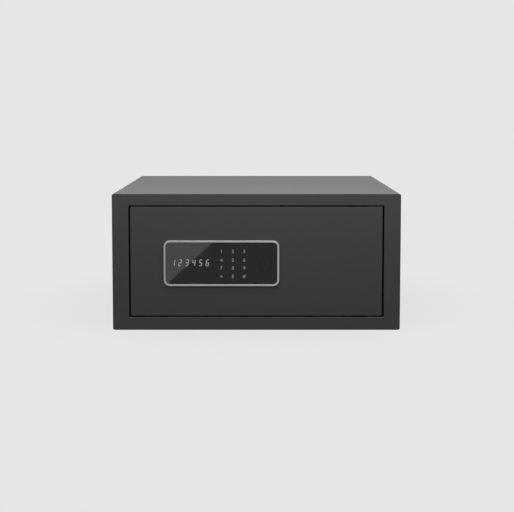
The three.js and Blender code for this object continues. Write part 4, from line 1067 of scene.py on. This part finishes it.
class SAFE_OT_display(Operator):
    """Lit seven-segment digits that show through the fascia"""

    bl_idname = "safe.display"
    bl_label = "Display"

    def execute(self, context):
        keypad = settings()[1]
        height, slant = keypad.digit_height, math.tan(keypad.digit_slant)
        width, stroke, gap = height * 0.47, height * 0.115, 0.2 * MM
        across, tall = width - stroke, (height - stroke) / 2
        spots = {
            "a": (0, tall * 2, 0), "g": (0, tall, 0), "d": (0, 0, 0),
            "f": (-across / 2, tall * 1.5, 1), "b": (across / 2, tall * 1.5, 1),
            "e": (-across / 2, tall / 2, 1), "c": (across / 2, tall / 2, 1),
        }
        row = centre("display_module") + Vector(DIGITS_SHIFT) * MM
        for place, digit in enumerate(keypad.shown[:6]):
            left = row.x + (place - 2.5) * keypad.digit_pitch
            bars = []
            for name in LIT.get(digit, ""):
                x, z, upright = spots[name]
                length = (tall if upright else across) - gap
                outline = [(left + x + a + (z + b - tall) * slant, row.z - tall + z + b)
                           for a, b in segment(length, stroke, upright)]
                bars.append(skin([at_depth(outline, FASCIA_LOW.y + y) for y in (-0.03 * MM, 0.1 * MM)]))
            if bars:
                make(f"display_digit_{place + 1}", merged(*bars), "black_acrylic", "door",
                     finish="lit_segment", weighted=False)
        return {"FINISHED"}


class SAFE_OT_keys(Operator):
    """Printed touch keys: the figures 1 to 9, star, nought and hash"""

    bl_idname = "safe.keys"
    bl_label = "Touch keys"

    def execute(self, context):
        height = settings()[1].key_height
        front, thick = FASCIA_LOW.y - 0.02 * MM, 0.1 * MM
        for place, name in enumerate(KEYS):
            text = linked("glyph", bpy.data.curves.new("glyph", "FONT"))
            text.data.body = {"star": "*", "hash": "#"}.get(name, name)
            text.data.size = 1
            text.data.resolution_u = 4
            text.data.offset = 0.012
            bm = as_shown(text)
            xs, ys = [v.co.x for v in bm.verts], [v.co.y for v in bm.verts]
            tall = max(ys) - min(ys)
            scale = {"star": 0.8 * height / tall, "hash": height / tall}.get(name, height / FIGURE)
            middle_x, middle_y = (max(xs) + min(xs)) / 2, (max(ys) + min(ys)) / 2
            column, row = KEY_COLUMNS[place % 3], KEY_ROWS[place // 3]
            for vert in bm.verts:
                x, y = vert.co.x - middle_x, vert.co.y - middle_y
                vert.co = (column + x * scale, front, row + y * scale)
            grown = bmesh.ops.extrude_face_region(bm, geom=bm.faces[:])
            for item in grown["geom"]:
                if isinstance(item, bmesh.types.BMVert):
                    item.co.y += thick
            bmesh.ops.recalc_face_normals(bm, faces=bm.faces)
            make(f"key_print_{name}", bm, "black_acrylic", "door", finish="key_ink", weighted=False)
        return {"FINISHED"}


# Inner parts from the frame


class SAFE_OT_folded_parts(Operator):
    """Door pan, jamb, strike plate, hinge blocks and the other inner parts, with softened edges"""

    bl_idname = "safe.folded_parts"
    bl_label = "Folded parts"

    def execute(self, context):
        for node, edge in SOFT_EDGES.items():
            make(node + "_finished", softened(node, edge * MM), SLOTS[node], BODIES[node], [node],
                 OWN_FINISH.get(node), sharp=40)
        return {"FINISHED"}


class SAFE_OT_carried(Operator):
    """Finishes of the frame's own pieces"""

    bl_idname = "safe.carried"
    bl_label = "Carried pieces"

    def execute(self, context):
        for name, node in frame["nodes"].items():
            for slot in node.material_slots:
                slot.link = "OBJECT"
                slot.material = look(SLOTS[name])
        return {"FINISHED"}


# Stage


def staged(name, points, faces):
    """A flat object that is part of the stage and not of the safe."""
    mesh = bpy.data.meshes.new(name)
    mesh.from_pydata(points, [], faces)
    made = linked(name, mesh)
    return made


def bare_tree(owner):
    """The node tree of a new material or world, emptied."""
    owner.use_nodes = True
    owner.node_tree.nodes.clear()
    return owner.node_tree


def seen_rays(tree):
    """1 for the rays that show the background: to the camera, in gloss and through glass."""
    path = add(tree, "ShaderNodeLightPath")
    both = sums(tree, "MAXIMUM", path.outputs["Is Camera Ray"], path.outputs["Is Glossy Ray"])
    return sums(tree, "MAXIMUM", both, path.outputs["Is Transmission Ray"])


class SAFE_OT_stage(Operator):
    """Pale floor, plain background, soft lamps and the camera"""

    bl_idname = "safe.stage"
    bl_label = "Studio"

    def execute(self, context):
        self.camera(context)
        self.floor()
        self.world(context)
        self.lamps()
        self.card()
        context.scene.view_settings.view_transform = "Standard"
        return {"FINISHED"}

    def camera(self, context):
        lens = bpy.data.cameras.new("camera")
        lens.lens = LENS
        lens.sensor_width = 36
        lens.shift_y = LENS_SHIFT
        lens.clip_start, lens.clip_end = 0.05, 50
        eye = linked("camera", lens)
        eye.location = EYE
        eye.rotation_euler = (math.radians(90 - PITCH), 0, 0)
        context.scene.camera = eye

    def floor(self):
        """Wide floor in the background colour, with a soft shadow round the safe. It has an opening under the
        safe and is clear from below, so that the underside shows too."""
        level = settings()[2].backdrop
        low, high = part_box("cabinet_shell")
        x0, x1, y0, y1, drop = low.x + MM, high.x - MM, low.y + MM, high.y - MM, -0.1 * MM
        side, near, far = 6, -3, 9
        corners = [(-side, near), (side, near), (side, far), (-side, far), (x0, y0), (x1, y0), (x1, y1),
                   (x0, y1)]
        ground = staged("floor", [(x, y, drop) for x, y in corners],
                        [(0, 1, 5, 4), (1, 2, 6, 5), (2, 3, 7, 6), (3, 0, 4, 7)])
        made = bpy.data.materials.new("floor")
        tree = bare_tree(made)
        place = add(tree, "ShaderNodeTexCoord")
        away = add(tree, "ShaderNodeVectorMath", {0: place.outputs["Object"]}, operation="LENGTH")
        shadow = span(tree, away.outputs["Value"], 0.22, 0.45, 0.1, 0.0)
        paper = add(tree, "ShaderNodeBsdfDiffuse", Color=(level / 2, level / 2, level / 2, 1))
        glow = add(tree, "ShaderNodeEmission", Color=(level, level, level, 1), Strength=1.0)
        dim = add(tree, "ShaderNodeBsdfDiffuse", Color=(0.04, 0.04, 0.04, 1))
        seen = add(tree, "ShaderNodeMixShader", {0: shadow, 1: glow.outputs[0], 2: paper.outputs[0]})
        above = add(tree, "ShaderNodeMixShader", {0: seen_rays(tree), 1: dim.outputs[0], 2: seen.outputs[0]})
        under = add(tree, "ShaderNodeNewGeometry").outputs["Backfacing"]
        clear = add(tree, "ShaderNodeBsdfTransparent")
        pick = add(tree, "ShaderNodeMixShader", {0: under, 1: above.outputs[0], 2: clear.outputs[0]})
        add(tree, "ShaderNodeOutputMaterial", {0: pick.outputs[0]})
        ground.data.materials.append(made)

    def world(self, context):
        """Even background for the camera; soft light all round for the safe, a little stronger from above."""
        level = settings()[2].backdrop
        made = bpy.data.worlds.new("studio")
        tree = bare_tree(made)
        place = add(tree, "ShaderNodeTexCoord")
        apart = add(tree, "ShaderNodeSeparateXYZ", {"Vector": place.outputs["Generated"]})
        high = span(tree, apart.outputs["Z"], -0.15, 0.9, 0.6, 0.75)
        around = add(tree, "ShaderNodeBackground", {"Strength": high}, Color=(1, 1, 1, 1))
        shown = add(tree, "ShaderNodeBackground", Color=(level, level, level, 1), Strength=1.0)
        pick = add(tree, "ShaderNodeMixShader", {
            0: seen_rays(tree), 1: around.outputs[0], 2: shown.outputs[0]})
        add(tree, "ShaderNodeOutputWorld", {0: pick.outputs[0]})
        context.scene.world = made

    def lamps(self):
        """A long lamp above the front and a large one behind."""
        stage = settings()[2]
        for name, power, size, place, aim in (
            ("overhead", stage.lamp, (1.1, 0.3), (0.06, -0.40, 0.50), (0.03, -0.15, 0.12)),
            ("rear", stage.rear_lamp, (1.4, 1.0), (0.05, 1.0, 1.15), (0, 0.18, 0.12)),
        ):
            lamp = bpy.data.lights.new(name, "AREA")
            lamp.shape = "RECTANGLE"
            lamp.size, lamp.size_y = size
            lamp.energy = power
            made = linked(name, lamp)
            made.location = place
            made.rotation_euler = (Vector(aim) - Vector(place)).to_track_quat("-Z", "Y").to_euler()

    def card(self):
        """Pale card in front on the left, which the glossy fascia mirrors as a slanted glare."""
        outline = [(-0.1048, -1.1234), (-0.1708, -0.5), (-0.9, -0.45), (-0.9, -1.4)]
        made = staged("card", [(x, y, 0.8 * MM) for x, y in outline], [(0, 1, 2, 3)])
        made.visible_camera = False
        made.visible_diffuse = False
        made.visible_shadow = False
        made.light_linking.receiver_collection = bpy.data.collections.new("glare")
        glow = bpy.data.materials.new("card")
        tree = bare_tree(glow)
        lit = add(tree, "ShaderNodeEmission", Color=(1, 1, 1, 1), Strength=2.5)
        add(tree, "ShaderNodeOutputMaterial", {0: lit.outputs[0]})
        made.data.materials.append(glow)


# Panel and registration


class SAFE_PT_panel(Panel):
    """Sizes and colours of the safe, and a button for each piece"""

    bl_idname = "SAFE_PT_panel"
    bl_label = "Laptop safe"
    bl_space_type = "VIEW_3D"
    bl_region_type = "UI"
    bl_category = "Safe"

    def draw(self, context):
        layout = self.layout
        for owner in settings():
            column = layout.column()
            for key in owner.__annotations__:
                column.prop(owner, key)
        for operator in OPERATORS:
            layout.operator(operator.bl_idname)


OPERATORS = (
    SAFE_OT_stage, SAFE_OT_carried, SAFE_OT_body_shell, SAFE_OT_rear_panel, SAFE_OT_plugs, SAFE_OT_floor_mat,
    SAFE_OT_folded_parts, SAFE_OT_door_leaf, SAFE_OT_door_rear, SAFE_OT_cells, SAFE_OT_bolts, SAFE_OT_keypad,
    SAFE_OT_display, SAFE_OT_keys,
)
SETTINGS = (
    ("safe_coat", SafeCoatSettings), ("safe_keypad", SafeKeypadSettings), ("safe_stage", SafeStageSettings),
)


def register():
    for name, group in SETTINGS:
        bpy.utils.register_class(group)
        setattr(bpy.types.Scene, name, PointerProperty(type=group))
    for made in (*OPERATORS, SAFE_PT_panel):
        bpy.utils.register_class(made)


def unregister():
    for made in (SAFE_PT_panel, *reversed(OPERATORS)):
        bpy.utils.unregister_class(made)
    for name, group in reversed(SETTINGS):
        delattr(bpy.types.Scene, name)
        bpy.utils.unregister_class(group)


def main():
    """Registers the add-on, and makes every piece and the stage."""
    register()
    for operator in OPERATORS:
        space, name = operator.bl_idname.split(".")
        getattr(getattr(bpy.ops, space), name)()


if __name__ == "__main__":
    main()
